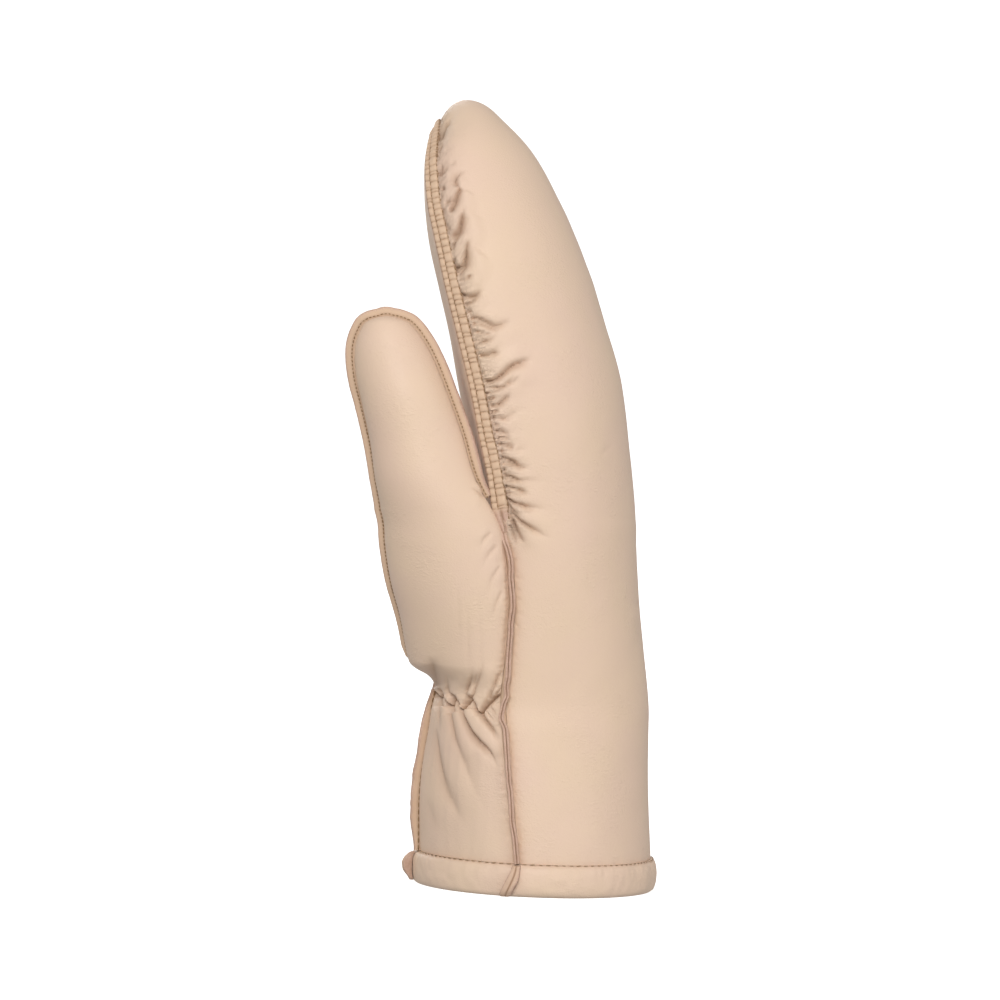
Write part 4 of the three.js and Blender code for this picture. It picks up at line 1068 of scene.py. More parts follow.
# Gathers of the thumb leather at the wrist elastic, charted on the photograph
gatherLine = [
    (433, 690), (437, 694.5), (438.6, 697), (440.8, 695.4), (442.6, 692), (444.4, 697), (447.5, 702.5),
    (451, 705.6), (452.4, 700.7), (454.2, 696.7), (456.4, 699), (460, 706), (463.4, 710), (465.8, 704.3),
    (469, 700), (471.2, 698.5), (473.8, 702.5), (477, 709.6), (480.5, 713.2), (483.7, 708.3), (487.7, 703.8),
    (491.3, 700.7), (496, 697), (503, 693),
]
wristFolds = [
    fold(1.7, *gatherLine, width=0.5, side=0, ends=(0, 0.05), lip=0.1, spread=0, darkness=1.3),
    fold(1.0, (438.6, 697), (439, 704), (440.4, 716), (442, 727), (446, 740), width=1.0, ends=(0.02, 0.8),
         lip=0.7, spread=1),
    fold(0.8, (439, 712), (438, 740), (440, 766), (447, 794), (457, 812), (470, 830), width=1.7,
         ends=(0.3, 0.6), lip=0.9, spread=1.2),
    fold(1.6, (451, 705.6), (451.5, 714), (453, 724), (455.5, 735), (461, 750), (468, 772), (479, 797),
         (493, 822), width=1.2, side=0.4, ends=(0.02, 0.85), lip=0.9, spread=2.4),
    fold(2.0, (463.4, 710), (465, 716), (469, 725), (473, 733), (479, 741), (485, 749), (490, 759),
         (497, 767), width=1.1, side=-0.4, ends=(0.02, 0.6), lip=0.9, spread=1.2),
    fold(0.9, (479, 739), (487.7, 749), (493, 757), (499, 770), width=0.7, ends=(0.2, 0.6), lip=0.6),
    fold(1.1, (480.5, 713), (485, 719.5), (489.5, 725), (494, 731), (498, 738), (501, 746), width=0.9,
         ends=(0.02, 0.6), lip=0.6),
    fold(0.5, (486, 710.5), (491, 717), (497, 725), width=0.45, ends=(0.1, 0.5)),
    fold(0.5, (489.5, 706), (494, 712), (499, 719), width=0.45, ends=(0.1, 0.5)),
    fold(0.35, (487.5, 708), (493, 715), (499, 724), width=0.4, ends=(0.1, 0.5)),
    fold(0.8, (441.7, 694), (441.2, 688), (440.5, 678), width=1.0, ends=(0.02, 0.7)),
    fold(0.9, (454, 697), (450, 689), (448, 682), (447, 672), width=0.9, ends=(0.02, 0.7)),
    fold(1.0, (469, 700), (468, 690), (470.7, 682), (472, 674), (472, 662), width=0.9, ends=(0.02, 0.7)),
    fold(0.5, (472.9, 690), (475, 680), (478, 669.5), width=0.5, ends=(0.3, 0.6)),
    fold(0.9, (472, 698), (475.2, 694), (476, 686), (479.6, 677), (482, 667), (484, 655), width=0.8,
         ends=(0.02, 0.7)),
    fold(0.9, (489.5, 700), (493, 689), (498.4, 678), (504, 669.5), width=0.9, ends=(0.05, 0.5)),
    fold(0.5, (484, 706), (489, 697), (492, 684), width=0.7, ends=(0.1, 0.6)),
    fold(0.7, (495.7, 695), (500, 690), (504, 686), width=0.6, ends=(0.1, 0.2)),
    fold(0.9, (428, 655), (433, 670), (438, 688), width=2.4, ends=(0.5, 0.1), lip=0.2),
    fold(0.25, (427, 790), (432, 815), (440, 838), width=2.0, ends=(0.4, 0.5)),
    fold(0.3, (446, 775), (452, 800), (462, 830), width=2.2, ends=(0.5, 0.5)),
    fold(0.1, (456, 580), (459, 620), (460, 660), width=0.6, ends=(0.4, 0.5)),
    fold(0.12, (466, 590), (468, 640), (469, 690), width=0.6, ends=(0.4, 0.4)),
    fold(0.12, (478, 600), (481, 640), (480, 680), width=0.6, ends=(0.4, 0.4)),
    fold(0.7, (476, 478), (482, 484), (487, 491), width=0.6, ends=(0.4, 0.1)),
    fold(0.5, (470, 486), (478, 491), (486, 497), width=0.6, ends=(0.5, 0.1)),
    fold(0.35, (492, 532), (484, 540), (478, 552), width=0.6, ends=(0.1, 0.7)),
    fold(0.35, (498, 545), (488, 556), (481, 572), width=0.6, ends=(0.1, 0.7)),
    fold(0.3, (501, 565), (492, 580), (486, 600), width=0.6, ends=(0.1, 0.7)),
    fold(0.3, (503, 590), (496, 606), (491, 626), width=0.6, ends=(0.1, 0.7)),
]


# Above the gather line the padded leather hangs over, below it the cuff is drawn in
def gatherStep(pixels):
    path = smoothPath(gatherLine, 6)
    rise = np.zeros(len(pixels))
    near = np.flatnonzero((pixels[:, 1] > 640) & (pixels[:, 1] < 780))
    _, across, distance = besidePath(pixels[near], path)
    hang = 1.25 * np.exp(-((distance - 1.9) / 2.4) ** 2)
    drawn = -1.0 * np.exp(-distance / 2.6)
    rise[near] = np.where(across > 0, drawn, hang - 1.5 * np.exp(-distance / 0.45))
    return rise


def frontRelief(grid, distances, total, places):
    shape = distances.shape
    pixels = photoPlace(grid).reshape(-1, 2)
    rise, creaseShade = foldRelief(pixels, wristFolds)
    sideRise, sideCreaseShade = foldRelief(pixels, sideSeamPuckers(-1, 8))
    fromOuterEdge = smooth(distances / total, 0.02, 0.1)
    rise = (rise + sideRise + gatherStep(pixels)).reshape(shape) * fromOuterEdge
    creaseShade = np.maximum(creaseShade, sideCreaseShade).reshape(shape)
    toLast = np.maximum(total - distances, 0)
    dip = np.exp(-distances / 1.3) + np.exp(-toLast / 1.3)
    soft = 0.35 * softNoise(grid, 20, 11) * smooth(np.minimum(distances, toLast), 2, 10)
    cuffLines = 0.12 * softNoise(grid * np.array([1, 1, 0.12]), 2.4, 12) * (1 - smooth(grid[..., 2], 62, 70))
    # Painted shade in the dips beside the thumb leather's seams
    creaseShade = np.maximum(creaseShade, 0.5 * dip)
    return softLimit(rise, 2.6, 1.8) - 0.8 * dip + soft + cuffLines - 0.4 * nearHem(grid), creaseShade


# Just above the wrist no welt stands between the leathers, and they lie close together
def besideWrist(places):
    return np.interp(places, (1.0, 1.03, 1.14, 1.24), (0, 1, 1, 0))


def thumbMargin(places):
    return 1.0 - 0.75 * besideWrist(places)


def thumbEdges(side, start):
    def edge(places):
        return thumbOutward(places, side), (places >= start).astype(float)
    return edge


pastCrotch = 2.0001
thumbFrontLeather = leatherPiece({
    "name": "thumbFrontLeather", "pointAt": frontPoint,
    "places": along((0, 0.8, 60), (0.8, 1.25, 90), (1.25, 2, 80), (2, 2.85, 90), (2.85, thumbEnd, 50)),
    "columns": edgeColumns(140, 0.7), "firstMargin": thumbMargin, "lastMargin": np.ones_like,
    "firstEdge": thumbEdges(1, thumbWeltStart), "lastEdge": thumbEdges(-1, pastCrotch), "relief": frontRelief,
})


def rearRelief(grid, distances, total, places):
    nearest = np.minimum(distances, total - distances)
    dip = np.exp(-nearest / 1.3)
    soft = 0.35 * softNoise(grid, 18, 21) * smooth(nearest, 2, 9)
    # Painted shade in the dips beside its seams
    return soft - 0.7 * dip, 0.5 * dip


def rearLastMargin(places):
    return 1.1 + 0.35 * (1 - smooth(places, 2, 2.2)) - 1.2 * besideWrist(places)


thumbRearLeather = leatherPiece({
    "name": "thumbRearLeather", "pointAt": rearPoint, "sign": -1,
    "places": along((1.006, 1.2, 24), (1.2, 2, 80), (2, 2.85, 70), (2.85, thumbEnd, 40)),
    "columns": edgeColumns(64, 0.7), "firstMargin": thumbMargin, "lastMargin": rearLastMargin,
    "firstEdge": thumbEdges(1, thumbWeltStart), "lastEdge": thumbEdges(-1, pastCrotch), "relief": rearRelief,
})

palmGathers = {
    "shares": (0.1, 0.19, 0.27, 0.37, 0.46, 0.55, 0.64, 0.73, 0.83, 0.92), "depth": 1.5, "width": 0.012,
    "below": 34.0, "above": 20.0, "seed": 6,
}


def palmRelief(grid, distances, total, places):
    share = distances / total
    fromElastic = grid[..., 2] - wristHeight
    reach = np.where(fromElastic < 0, palmGathers["below"], palmGathers["above"])
    fade = 1 - smooth(np.abs(fromElastic), 0, reach)
    rise = np.zeros(share.shape)
    pick = np.random.default_rng(palmGathers["seed"])
    for centre in palmGathers["shares"]:
        lean = pick.normal(0, 0.02)
        width = palmGathers["width"] * (1 + 2.2 * np.abs(fromElastic) / reach)
        gap = np.abs(share - centre - lean * fromElastic / 20)
        strength = pick.uniform(0.6, 1.1) * fade
        rise -= strength * palmGathers["depth"] * np.exp(-gap / width)
        rise += strength * 0.5 * np.exp(-((gap - 3 * width) / (2 * width)) ** 2)
    pinch = np.exp(-(fromElastic / 2.2) ** 2)
    nearest = np.minimum(distances, total - distances)
    nearSeam = np.exp(-nearest / 1.3)
    sides = smooth(nearest, 0.5, 4)
    soft = 0.4 * softNoise(grid, 24, 31) * smooth(nearest, 2, 12)
    gathered = np.exp(-nearest / 5) * smooth(places, stripStart, stripStart + 0.1)[:, None]
    pleats = 0.35 * gathered * softNoise(grid * np.array([1, 0.3, 1]), 2.3, 33)
    # Painted shade in the valleys of the gathers and beside the seams
    creaseShade = np.clip(-rise * 0.4, 0, 1) * sides + 0.35 * nearSeam
    onFinger = smooth(places, stripStart - 0.1, stripStart)[:, None]
    dip = mix(0.8, 0.25, onFinger) * nearSeam
    return (rise - 1.0 * pinch) * sides - dip + soft + pleats - 0.6 * nearHem(grid), creaseShade


def palmLastMargin(places):
    besideThumb = 1.0 + 0.9 * smooth(places, 1.7, 1.85) - 0.75 * besideWrist(places)
    return mix(besideThumb, 0.25, smooth(places, 2, 2.1))


def palmThumbEdge(places):
    return cornerDirection(places, -1), (places >= 2).astype(float)


palmLeather = leatherPiece({
    "name": "palmLeather", "pointAt": palmLeatherPoint,
    "places": along((0, 0.6, 40), (0.6, 1.4, 110), (1.4, 2, 50), (2, 3, 170)),
    "columns": edgeColumns(130, 0.7), "firstMargin": weltMargin, "lastMargin": palmLastMargin,
    "firstEdge": backEdges(1), "lastEdge": palmThumbEdge, "relief": palmRelief,
})
print("leathers made")


# The gathered strip: two bands of small cushions between rows of stitches
def cellProfile(distance, borders):
    index = np.clip(np.searchsorted(borders, distance) - 1, 0, len(borders) - 2)
    low, high = borders[index], borders[index + 1]
    t = np.clip((distance - low) / (high - low), 0, 1)
    return (1 - np.abs(2 * t - 1) ** 2.4) ** 0.7, np.minimum(distance - low, high - distance), index


def stripBorders(length, pitch, seed, start):
    pick = np.random.default_rng(seed)
    count = int(length / pitch) + 3
    return (np.arange(count) - 1 + start) * pitch + np.clip(pick.normal(0, 0.2, count), -0.4, 0.4) * pitch


def makeStrip():
    distance, outward = trackLengths, seamOutward
    total = distance[-1]
    first = strip["firstBand"]
    firstColumns, secondColumns = strip["bandColumns"]
    q = np.concatenate([
        np.linspace(0, first, firstColumns, endpoint=False), np.linspace(first, 1, secondColumns),
    ])
    inward = unit(trackFar - trackEdge)
    base = np.empty((len(distance), len(q), 3))
    for k, share in enumerate(q):
        if share < first:
            base[:, k] = mix(trackEdge, trackMiddle, share / first)
        else:
            base[:, k] = mix(trackMiddle, trackFar, (share - first) / (1 - first))
    pick = np.random.default_rng(strip["seed"])
    rise = np.empty(base.shape[:2])
    creaseShade = np.empty(base.shape[:2])
    layouts = (
        (q < first, stripBorders(total, strip["pitch"], 21, 0.0), 0.62, 0.0, first),
        (q >= first, stripBorders(total, strip["pitch"], 22, 0.45), 0.8, first, 1.0),
    )
    for chosen, borders, height, low, high in layouts:
        heights = pick.uniform(0.75, 1.15, len(borders))
        for k in np.flatnonzero(chosen):
            across = (q[k] - low) / (high - low)
            profile, gap, cell = cellProfile(distance + strip["slant"] * (across - 0.5), borders)
            pillow = (1 - abs(2 * across - 1) ** 3.2) ** 0.6 if 0 < across < 1 else 0.0
            rise[:, k] = height * heights[cell] * (0.25 * pillow + 0.75 * profile * pillow)
            # Painted shade in the grooves along the stitch rows, deepest at each stitch, and in the dips
            # between cushions
            groove = np.exp(-np.abs(across) * (high - low) * strip["width"] / 0.3)
            groove += np.exp(-np.abs(1 - across) * (high - low) * strip["width"] / 0.3)
            knot = np.exp(-gap / 0.35)
            creaseShade[:, k] = np.clip(0.55 * np.exp(-gap / 0.22) + groove * (0.25 + 0.9 * knot), 0, 1.3)
    lift = strip["rise"] - 0.15
    fromLip = q - strip["lipPlace"]
    lipFold = 0.75 * np.sin(math.pi * np.clip(q, 0, 1)) ** 0.6 - 0.7 * np.exp(-(fromLip / 0.12) ** 2)
    rise = mix(rise, lipFold[None] + 0 * rise, trackLip[:, None])
    # Painted shade in the fold of the lip
    lipCreaseShade = 0.8 * np.exp(-(fromLip / 0.09) ** 2)
    creaseShade = mix(creaseShade, lipCreaseShade[None] + 0 * rise, trackLip[:, None])
    top = base + outward[:, None, :] * (lift + rise)[..., None]
    edgeOut = top[:, :1] - inward[:, None] * 0.35 - outward[:, None, :] * 0.2
    under = base[:, :1] - inward[:, None] * 0.3 + outward[:, None, :] * (strip["rise"] - strip["thickness"])
    underFar = base[:, -1:] + outward[:, None, :] * (strip["rise"] - strip["thickness"])
    ring = np.concatenate([under, edgeOut, top, underFar], axis=1)
    raw = np.zeros(ring.shape[:2])
    raw[:, :3] = 1
    raw[:, 3] = 0.5
    # Painted shade under the strip's far edge
    shade = np.concatenate([np.zeros((len(distance), 2)), creaseShade, np.ones((len(distance), 1))], axis=1)
    raw = np.maximum(raw, trackLip[:, None])
    return sweptPiece("fingerSeamStrip", ring, {"creaseShade": shade, "raw": raw}, leatherEdge, "leather")


# A closed piece from rings of points, set one after another
def sweptPiece(name, ring, attributes, material, slot, looped=False):
    rows, columns = ring.shape[:2]
    rowIndex = np.arange(rows if looped else rows - 1)
    i, j = np.meshgrid(rowIndex, np.arange(columns), indexing="ij")
    nextRow = (i + 1) % rows
    nextColumn = (j + 1) % columns
    quads = np.stack([i * columns + j, i * columns + nextColumn, nextRow * columns + nextColumn,
                      nextRow * columns + j], axis=-1).reshape(-1, 4)
    faces = quads.tolist()
    if not looped:
        faces.append(list(range(columns))[::-1])
        faces.append([(rows - 1) * columns + k for k in range(columns)])
    vertices = ring.reshape(-1, 3)
    heart = ring[rows // 2].mean(0)
    corners = [vertices[quads[:, k]] - heart for k in range(4)]
    if sum((corners[0] * np.cross(corners[k], corners[k + 1])).sum() for k in (1, 2)) < 0:
        faces = [face[::-1] for face in faces]
    flat = {key: values.ravel() for key, values in attributes.items()}
    piece = makePiece(name, vertices, faces, slot, material, flat, smoothAngle=55)
    print(name, len(faces), "faces")
    return piece


fingerSeamStrip = makeStrip()


# A welt: two plies standing side by side on a seam, with raw edges at the top
def makeWelt(name, points, outward, height, thickness, wave, seed, kinks=(), ragged=1.0):
    tangent = unit(np.gradient(points, axis=0))
    outward = unit(outward - tangent * (outward * tangent).sum(-1, keepdims=True))
    side = np.cross(tangent, outward)
    lengths = lengthsAlong(points)
    line = vector(lengths, 0, 0)
    sway = wave * softNoise(line, 7.5, seed) + 0.4 * wave * softNoise(line, 2.6, seed + 1)
    for place, amount, reach in kinks:
        sway = sway + amount * np.exp(-((lengths - place) / reach) ** 2)
    uneven = 0.1 * softNoise(line, 6, seed + 2) + 0.05 * softNoise(line, 1.6, seed + 3)
    tall = height * (1 + ragged * uneven)
    half = thickness / 2
    seat = 0.6
    # Profile rows: across, up, share of raw edge colour and share of painted shade at the welt's foot and in
    # the dip between its plies
    profile = (
        (-1.0, -1, 0.0, 0.0), (-1.02, 0.05, 0.0, 0.5), (-1.0, 0.45, 0.0, 0.0), (-1.0, 0.8, 0.25, 0.0),
        (-0.92, 0.96, 1.0, 0.0), (-0.7, 1.02, 1.0, 0.0), (-0.4, 1.0, 1.0, 0.0), (-0.14, 0.94, 1.0, 0.25),
        (0.0, 0.78, 1.0, 1.0), (0.14, 0.95, 1.0, 0.25), (0.42, 1.03, 1.0, 0.0), (0.74, 1.0, 1.0, 0.0),
        (0.95, 0.93, 1.0, 0.0), (1.0, 0.78, 0.25, 0.0), (1.0, 0.45, 0.0, 0.0), (1.02, 0.05, 0.0, 0.5),
        (1.0, -1, 0.0, 0.0),
    )
    rows = []
    raw = []
    creaseShade = []
    for across, up, rawShare, creaseShadeShare in profile:
        lift = tall * up if up > 0 else np.full(len(points), -seat if up < 0 else 0.0)
        swayHere = sway * max(up, 0)
        rows.append(points + side * (half * across + swayHere)[:, None] + outward * lift[:, None])
        raw.append(np.full(len(points), rawShare))
        creaseShade.append(np.full(len(points), creaseShadeShare))
    attributes = {"raw": np.stack(raw, axis=1), "creaseShade": np.stack(creaseShade, axis=1)}
    return sweptPiece(name, np.stack(rows, axis=1), attributes, leatherEdge, "leather_edge")


sideWelt = {"thickness": 1.9, "height": 2.5, "wave": 0.45, "end": stripStart + 0.03, "seed": 40}


def makeSideWelt(name, side, kinks):
    at = np.linspace(0, sideWelt["end"], 420)
    points = seamPoint(at, side)
    outward = vector(0 * at, side, 0)
    w = sideWelt
    height = w["height"] * mix(0.75, 1, smooth(at, 0, 0.1)) * mix(1, 0.2, smooth(at, 1.8, w["end"]))
    return makeWelt(name, points, outward, height, w["thickness"], w["wave"], w["seed"] + side, kinks)


sideWeltThumbSide = makeSideWelt("sideWeltThumbSide", -1, ((57.5, 1.0, 2.6), (49.5, -0.9, 2.4), (63, 0.4, 4)))
sideWeltLittleFingerSide = makeSideWelt("sideWeltLittleFingerSide", 1, ((54, 0.5, 5),))

at = np.linspace(0, 1.02, 260)
points = frontPoint(at, 0 * at)
outward = points - handSection(at)["seam"]
outward[:, 2] = 0
height = mix(2.8, 1.2, smooth(at, 0.8, 1.0)) * mix(0.5, 1, smooth(at, 0, 0.22))
palmWelt = makeWelt("palmWelt", points, unit(outward), height, thickness=1.9, wave=0.3, seed=51)

# The thumb's welt runs up the outer edge, over the tip and down the inner edge to the crotch
thumbWelt = {
    "start": thumbWeltStart + 0.02, "turn": thumbEnd, "end": 2.09, "tip": 0.02,
    "height": 2.7, "thickness": 1.6,
}


def thumbWeltTrack(count):
    w = thumbWelt
    upLength = w["turn"] - w["start"]
    total = upLength + w["tip"] + w["turn"] - w["end"]
    travel = np.linspace(0, total, count)
    goingUp = travel <= upLength
    overTip = np.clip((travel - upLength) / w["tip"], 0, 1)
    up = frontPoint(np.where(goingUp, w["start"] + travel, w["turn"]), 0 * travel)
    thumb = thumbSection(np.full(count, w["turn"]))
    reach = np.linalg.norm(thumb["outer"] - thumb["inner"], axis=1)
    over = thumb["outer"] + (thumb["inner"] - thumb["outer"]) * ((1 - np.cos(math.pi * overTip)) / 2)[:, None]
    over = over + vector(0, 0, 0.1 * reach * np.sin(math.pi * overTip))
    downAt = np.clip(w["turn"] - (travel - upLength - w["tip"]), 1, w["turn"])
    down = frontPoint(downAt, 0 * travel + 1)
    points = np.where(goingUp[:, None], up, np.where((overTip < 1)[:, None], over, down))
    heartAt = np.minimum(np.where(goingUp, w["start"] + travel, downAt), w["turn"] - 0.2)
    heart = thumbSection(heartAt)
    return points, unit(points - mix(heart["outer"], heart["inner"], 0.5)), travel, total


points, outward, travel, total = thumbWeltTrack(2400)
lengths = lengthsAlong(points)
evenly = np.linspace(0, lengths[-1], 900)
thumbWeltLine = evened(pointsAlong(evenly, lengths, points), 9)
thumbWeltOutward = unit(evened(pointsAlong(evenly, lengths, outward), 21))
travel = np.interp(evenly, lengths, travel)
falling, rising = smooth(travel, total - 0.15, total), smooth(evenly, 0, 5)
height = thumbWelt["height"] * mix(1, 0.5, falling) * mix(0.6, 1, rising)
thumbWeltPiece = makeWelt(
    "thumbWelt", thumbWeltLine, thumbWeltOutward, height, thumbWelt["thickness"], wave=0.12, seed=61,
    ragged=0.3,
)

at = np.linspace(1.008, 1.8, 200)
points = rearPoint(at, 1 + 0 * at)
outward = unit(rearPoint(at, 0.97 + 0 * at) - points) + np.array([-0.5, 0.5, 0])
height = mix(1.1, 0.8, smooth(at, 1.2, 1.3))
thumbRootWelt = makeWelt("thumbRootWelt", points, unit(outward), height, thickness=1.4, wave=0.1, seed=71)
print("welts made")


# The rolled hem: a puffy ring, with soft ripples and small puckers towards its upper edge
def hemSection():
    middle = hem["proud"] - hem["thickness"] / 2
    half = hem["thickness"] / 2
    foot = hem["foot"] / 2
    turn = np.linspace(0, 1, hem["rows"])
    roundness = np.sqrt(np.maximum(1 - np.abs(2 * turn - 1) ** 2.4, 0))
    out = mix(foot, half, np.clip(roundness, 0, 1))
    outside = np.stack([middle + out, turn * hemHeight], axis=1)
    inside = np.stack([middle - out, turn * hemHeight], axis=1)[::-1]
    return np.vstack([outside, inside])


def makeHem():
    share = np.linspace(0, 1, 900, endpoint=False)
    line = hemLine(share)
    outward = hemOutward(share)
    section = hemSection()
    rise = section[None, :, 1]
    ring = line[:, None] + outward[:, None] * section[None, :, :1] + vector(0, 0, rise + 0 * share[:, None])
    isOutside = section[:, 0] > hem["proud"] - hem["thickness"] / 2
    ripple = 0.35 * softNoise(ring * np.array([1, 1, 0.5]), 7, 81) + 0.16 * softNoise(ring, 2.4, 82)
    puckers = 0.22 * softNoise(ring * np.array([1, 1, 0.15]), 1.9, 83) * smooth(rise, 5, 10.5)
    clearOfFoot = smooth(rise, 0.3, 2.5)
    amount = (ripple + puckers) * clearOfFoot * np.where(isOutside, 1, 0.5)[None]
    ring = ring + outward[:, None] * (amount * np.where(isOutside, 1, -1)[None])[..., None]
    # Painted shade along the hem's upper edge
    upper = smooth(rise, 9, 11) + 0 * amount
    attributes = {"creaseShade": 0.1 * upper, "inside": 0 * upper}
    return sweptPiece("hemBand", ring, attributes, leather, "leather", looped=True)


hemBand = makeHem()


# The ends of the welts, folded down over the hem: two raw plies with a crease between them
tailGrid = {"rows": 60, "columns": 17}


def makeTail(name, share, tail, seed):
    travel = np.linspace(0, 1, tailGrid["rows"])
    section = hemSection()[:hem["rows"]]
    rise = mix(0.97, tail["foot"], travel) * hemHeight
    out = np.interp(rise, section[:, 1], section[:, 0])
    line = vector(travel * 12, 0, 0)
    across = np.linspace(-0.5, 0.5, tailGrid["columns"])
    sway = tail["lean"] * travel**1.5 + 0.4 * softNoise(line, 5, seed)
    half = tail["width"] * mix(0.75, 1.15, smooth(travel, 0, 0.6)) * (1 - 0.35 * smooth(travel, 0.9, 1))
    puff = tail["puff"] * np.sin(math.pi * np.clip(travel * 1.15, 0, 1))
    puff = puff + tail["lift"] * smooth(travel, 0.4, 1)
    tops, bottoms = [], []
    for a in across:
        place = share + (a * half + sway) / hem["length"]
        ply = 0.5 * np.cos(a * math.pi) ** 0.7 - 0.55 * np.exp(-((a - 0.08) / 0.07) ** 2)
        ply = ply + 0.18 * softNoise(line + a * 3, 1.8, seed + 1)
        base = hemLine(place) + vector(0, 0, rise)
        outward = hemOutward(place)
        thickness = 1.1 * mix(1, 0.7, smooth(travel, 0.8, 1))
        tops.append(base + outward * (out + pieceGap + thickness + ply + puff)[:, None])
        bottoms.append(base + outward * (out + pieceGap)[:, None])
    ring = np.stack(tops + bottoms[::-1], axis=1)
    onEdge = np.abs(np.abs(across) - 0.5) < 0.08
    folded = np.exp(-((across - 0.08) / 0.07) ** 2)
    raw = np.tile(np.concatenate([np.where(onEdge, 1.0, 0.45), 1 + 0 * across]), (len(travel), 1))
    # Painted shade in the fold between the plies and on their undersides
    creaseShade = np.tile(np.concatenate([0.8 * folded, 0.5 + 0 * across]), (len(travel), 1))
    return sweptPiece(name, ring, {"raw": raw, "creaseShade": creaseShade}, leatherEdge, "leather_edge")


sideTail = {"width": 4.0, "lean": -4.4, "puff": 0.8, "foot": -0.02, "lift": 0.7}
palmTail = {"width": 3.6, "lean": 0.6, "puff": 1.7, "foot": 0.08, "lift": 0.0}
palmTuckAtHem = float(handSection(np.zeros(1))["palmTuck"][0])
palmSeamShare = 0.5 + (math.radians(outerSeamAngle) - palmTuckAtHem) / (math.pi - 2 * palmTuckAtHem) / 2
sideWeltTail = makeTail("sideWeltTail", 0.0, sideTail, 91)
littleFingerWeltTail = makeTail("littleFingerWeltTail", 0.5, sideTail, 93)
palmWeltTail = makeTail("palmWeltTail", palmSeamShare, palmTail, 95)
print("hem and tails made")


# Stitches: short threads set along a row by Geometry Nodes
def stitchTree():
    tree = bpy.data.node_groups.new("stitchRow", "GeometryNodeTree")
    face = tree.interface
    face.new_socket("Geometry", in_out="INPUT", socket_type="NodeSocketGeometry")
    for name, kind, value in (
        ("Spacing", "NodeSocketFloat", 0.002), ("Stitch Length", "NodeSocketFloat", 0.0014),
        ("Thread", "NodeSocketFloat", 0.0004), ("Wander", "NodeSocketFloat", 0.15),
        ("Seed", "NodeSocketInt", 1),
    ):
        face.new_socket(name, in_out="INPUT", socket_type=kind).default_value = value
    face.new_socket("Finish", in_out="INPUT", socket_type="NodeSocketMaterial")
    face.new_socket("Geometry", in_out="OUTPUT", socket_type="NodeSocketGeometry")

    def node(kind, settings=None, values=None):
        return addNode(tree, kind, settings, values)

    start = node("NodeGroupInput").outputs
    row = node("GeometryNodeMeshToCurve", None, {"Mesh": start["Geometry"]})
    spaced = node("GeometryNodeResampleCurve", {"mode": "LENGTH"}, {
        "Curve": row.outputs[0], "Length": start["Spacing"],
    })
    facing = node("GeometryNodeInputNamedAttribute", {"data_type": "FLOAT_VECTOR"}, {"Name": "facing"})
    tangent = node("GeometryNodeInputTangent")
    turned = node("FunctionNodeAlignRotationToVector", {"axis": "X"}, {"Vector": tangent.outputs[0]})
    upright = node("FunctionNodeAlignRotationToVector", {"axis": "Z", "pivot_axis": "X"}, {
        "Rotation": turned.outputs[0], "Vector": facing.outputs[0],
    })
    wander = node("ShaderNodeMath", {"operation": "MULTIPLY"}, {0: start["Wander"], 1: -1.0})
    turn = node("FunctionNodeRandomValue", {"data_type": "FLOAT"}, {
        2: wander.outputs[0], 3: start["Wander"], "Seed": start["Seed"],
    })
    twist = node("ShaderNodeCombineXYZ", None, {"Z": turn.outputs[1]})
    asRotation = node("FunctionNodeEulerToRotation", None, {0: twist.outputs[0]})
    final = node("FunctionNodeRotateRotation", {"rotation_space": "LOCAL"}, {
        0: upright.outputs[0], 1: asRotation.outputs[0],
    })
    size = node("ShaderNodeCombineXYZ", None, {
        "X": start["Stitch Length"], "Y": start["Thread"], "Z": start["Thread"],
    })
    variation = node("FunctionNodeRandomValue", {"data_type": "FLOAT"}, {
        2: 0.85, 3: 1.15, "Seed": start["Seed"],
    })
    scaled = node("ShaderNodeVectorMath", {"operation": "SCALE"}, {
        0: size.outputs[0], "Scale": variation.outputs[1],
    })
    stitch = node("GeometryNodeMeshUVSphere", None, {"Segments": 7, "Rings": 5, "Radius": 0.5})
    placedRow = node("GeometryNodeInstanceOnPoints", None, {
        "Points": spaced.outputs[0], "Instance": stitch.outputs[0], "Rotation": final.outputs[0],
        "Scale": scaled.outputs[0],
    })
    real = node("GeometryNodeRealizeInstances", None, {0: placedRow.outputs[0]})
    done = node("GeometryNodeSetMaterial", None, {"Geometry": real.outputs[0], "Material": start["Finish"]})
    node("NodeGroupOutput", None, {0: done.outputs[0]})
    return tree


stitches = stitchTree()


def stitchRow(name, points, facing, spacing, length, thickness, seed, wander=0.15):
    mesh = bpy.data.meshes.new(name + "Line")
    mesh.from_pydata(placed(points).tolist(), [(k, k + 1) for k in range(len(points) - 1)], [])
    layer = mesh.attributes.new("facing", "FLOAT_VECTOR", "POINT")
    layer.data.foreach_set("vector", np.ascontiguousarray(facing, dtype=np.float32).ravel())
    line = addObject(name + "Line", mesh)
    modifier = line.modifiers.new("stitches", "NODES")
    modifier.node_group = stitches
    values = {
        "Spacing": spacing * 0.001, "Stitch Length": length * 0.001, "Thread": thickness * 0.001,
        "Wander": wander, "Seed": seed, "Finish": thread,
    }
    for item in stitches.interface.items_tree:
        if item.in_out == "INPUT" and item.name in values:
            modifier[item.identifier] = values[item.name]
    bpy.context.view_layer.update()
    depsgraph = bpy.context.evaluated_depsgraph_get()
    made = bpy.data.meshes.new_from_object(line.evaluated_get(depsgraph))
    bpy.data.objects.remove(line)
    made.name = name
    shadeSmooth(made)
    made.materials.clear()
    made.materials.append(thread)
    piece = addObject(name, made)
    piece["materialSlot"] = "leather_edge"
    print(name, len(made.polygons), "faces")
    return piece


# The direction across a line and its outward side, towards the thumb
def sideOf(line, outward):
    side = unit(np.cross(unit(np.gradient(line, axis=0)), outward))
    return -side if np.median(side[:, 1]) > 0 else side


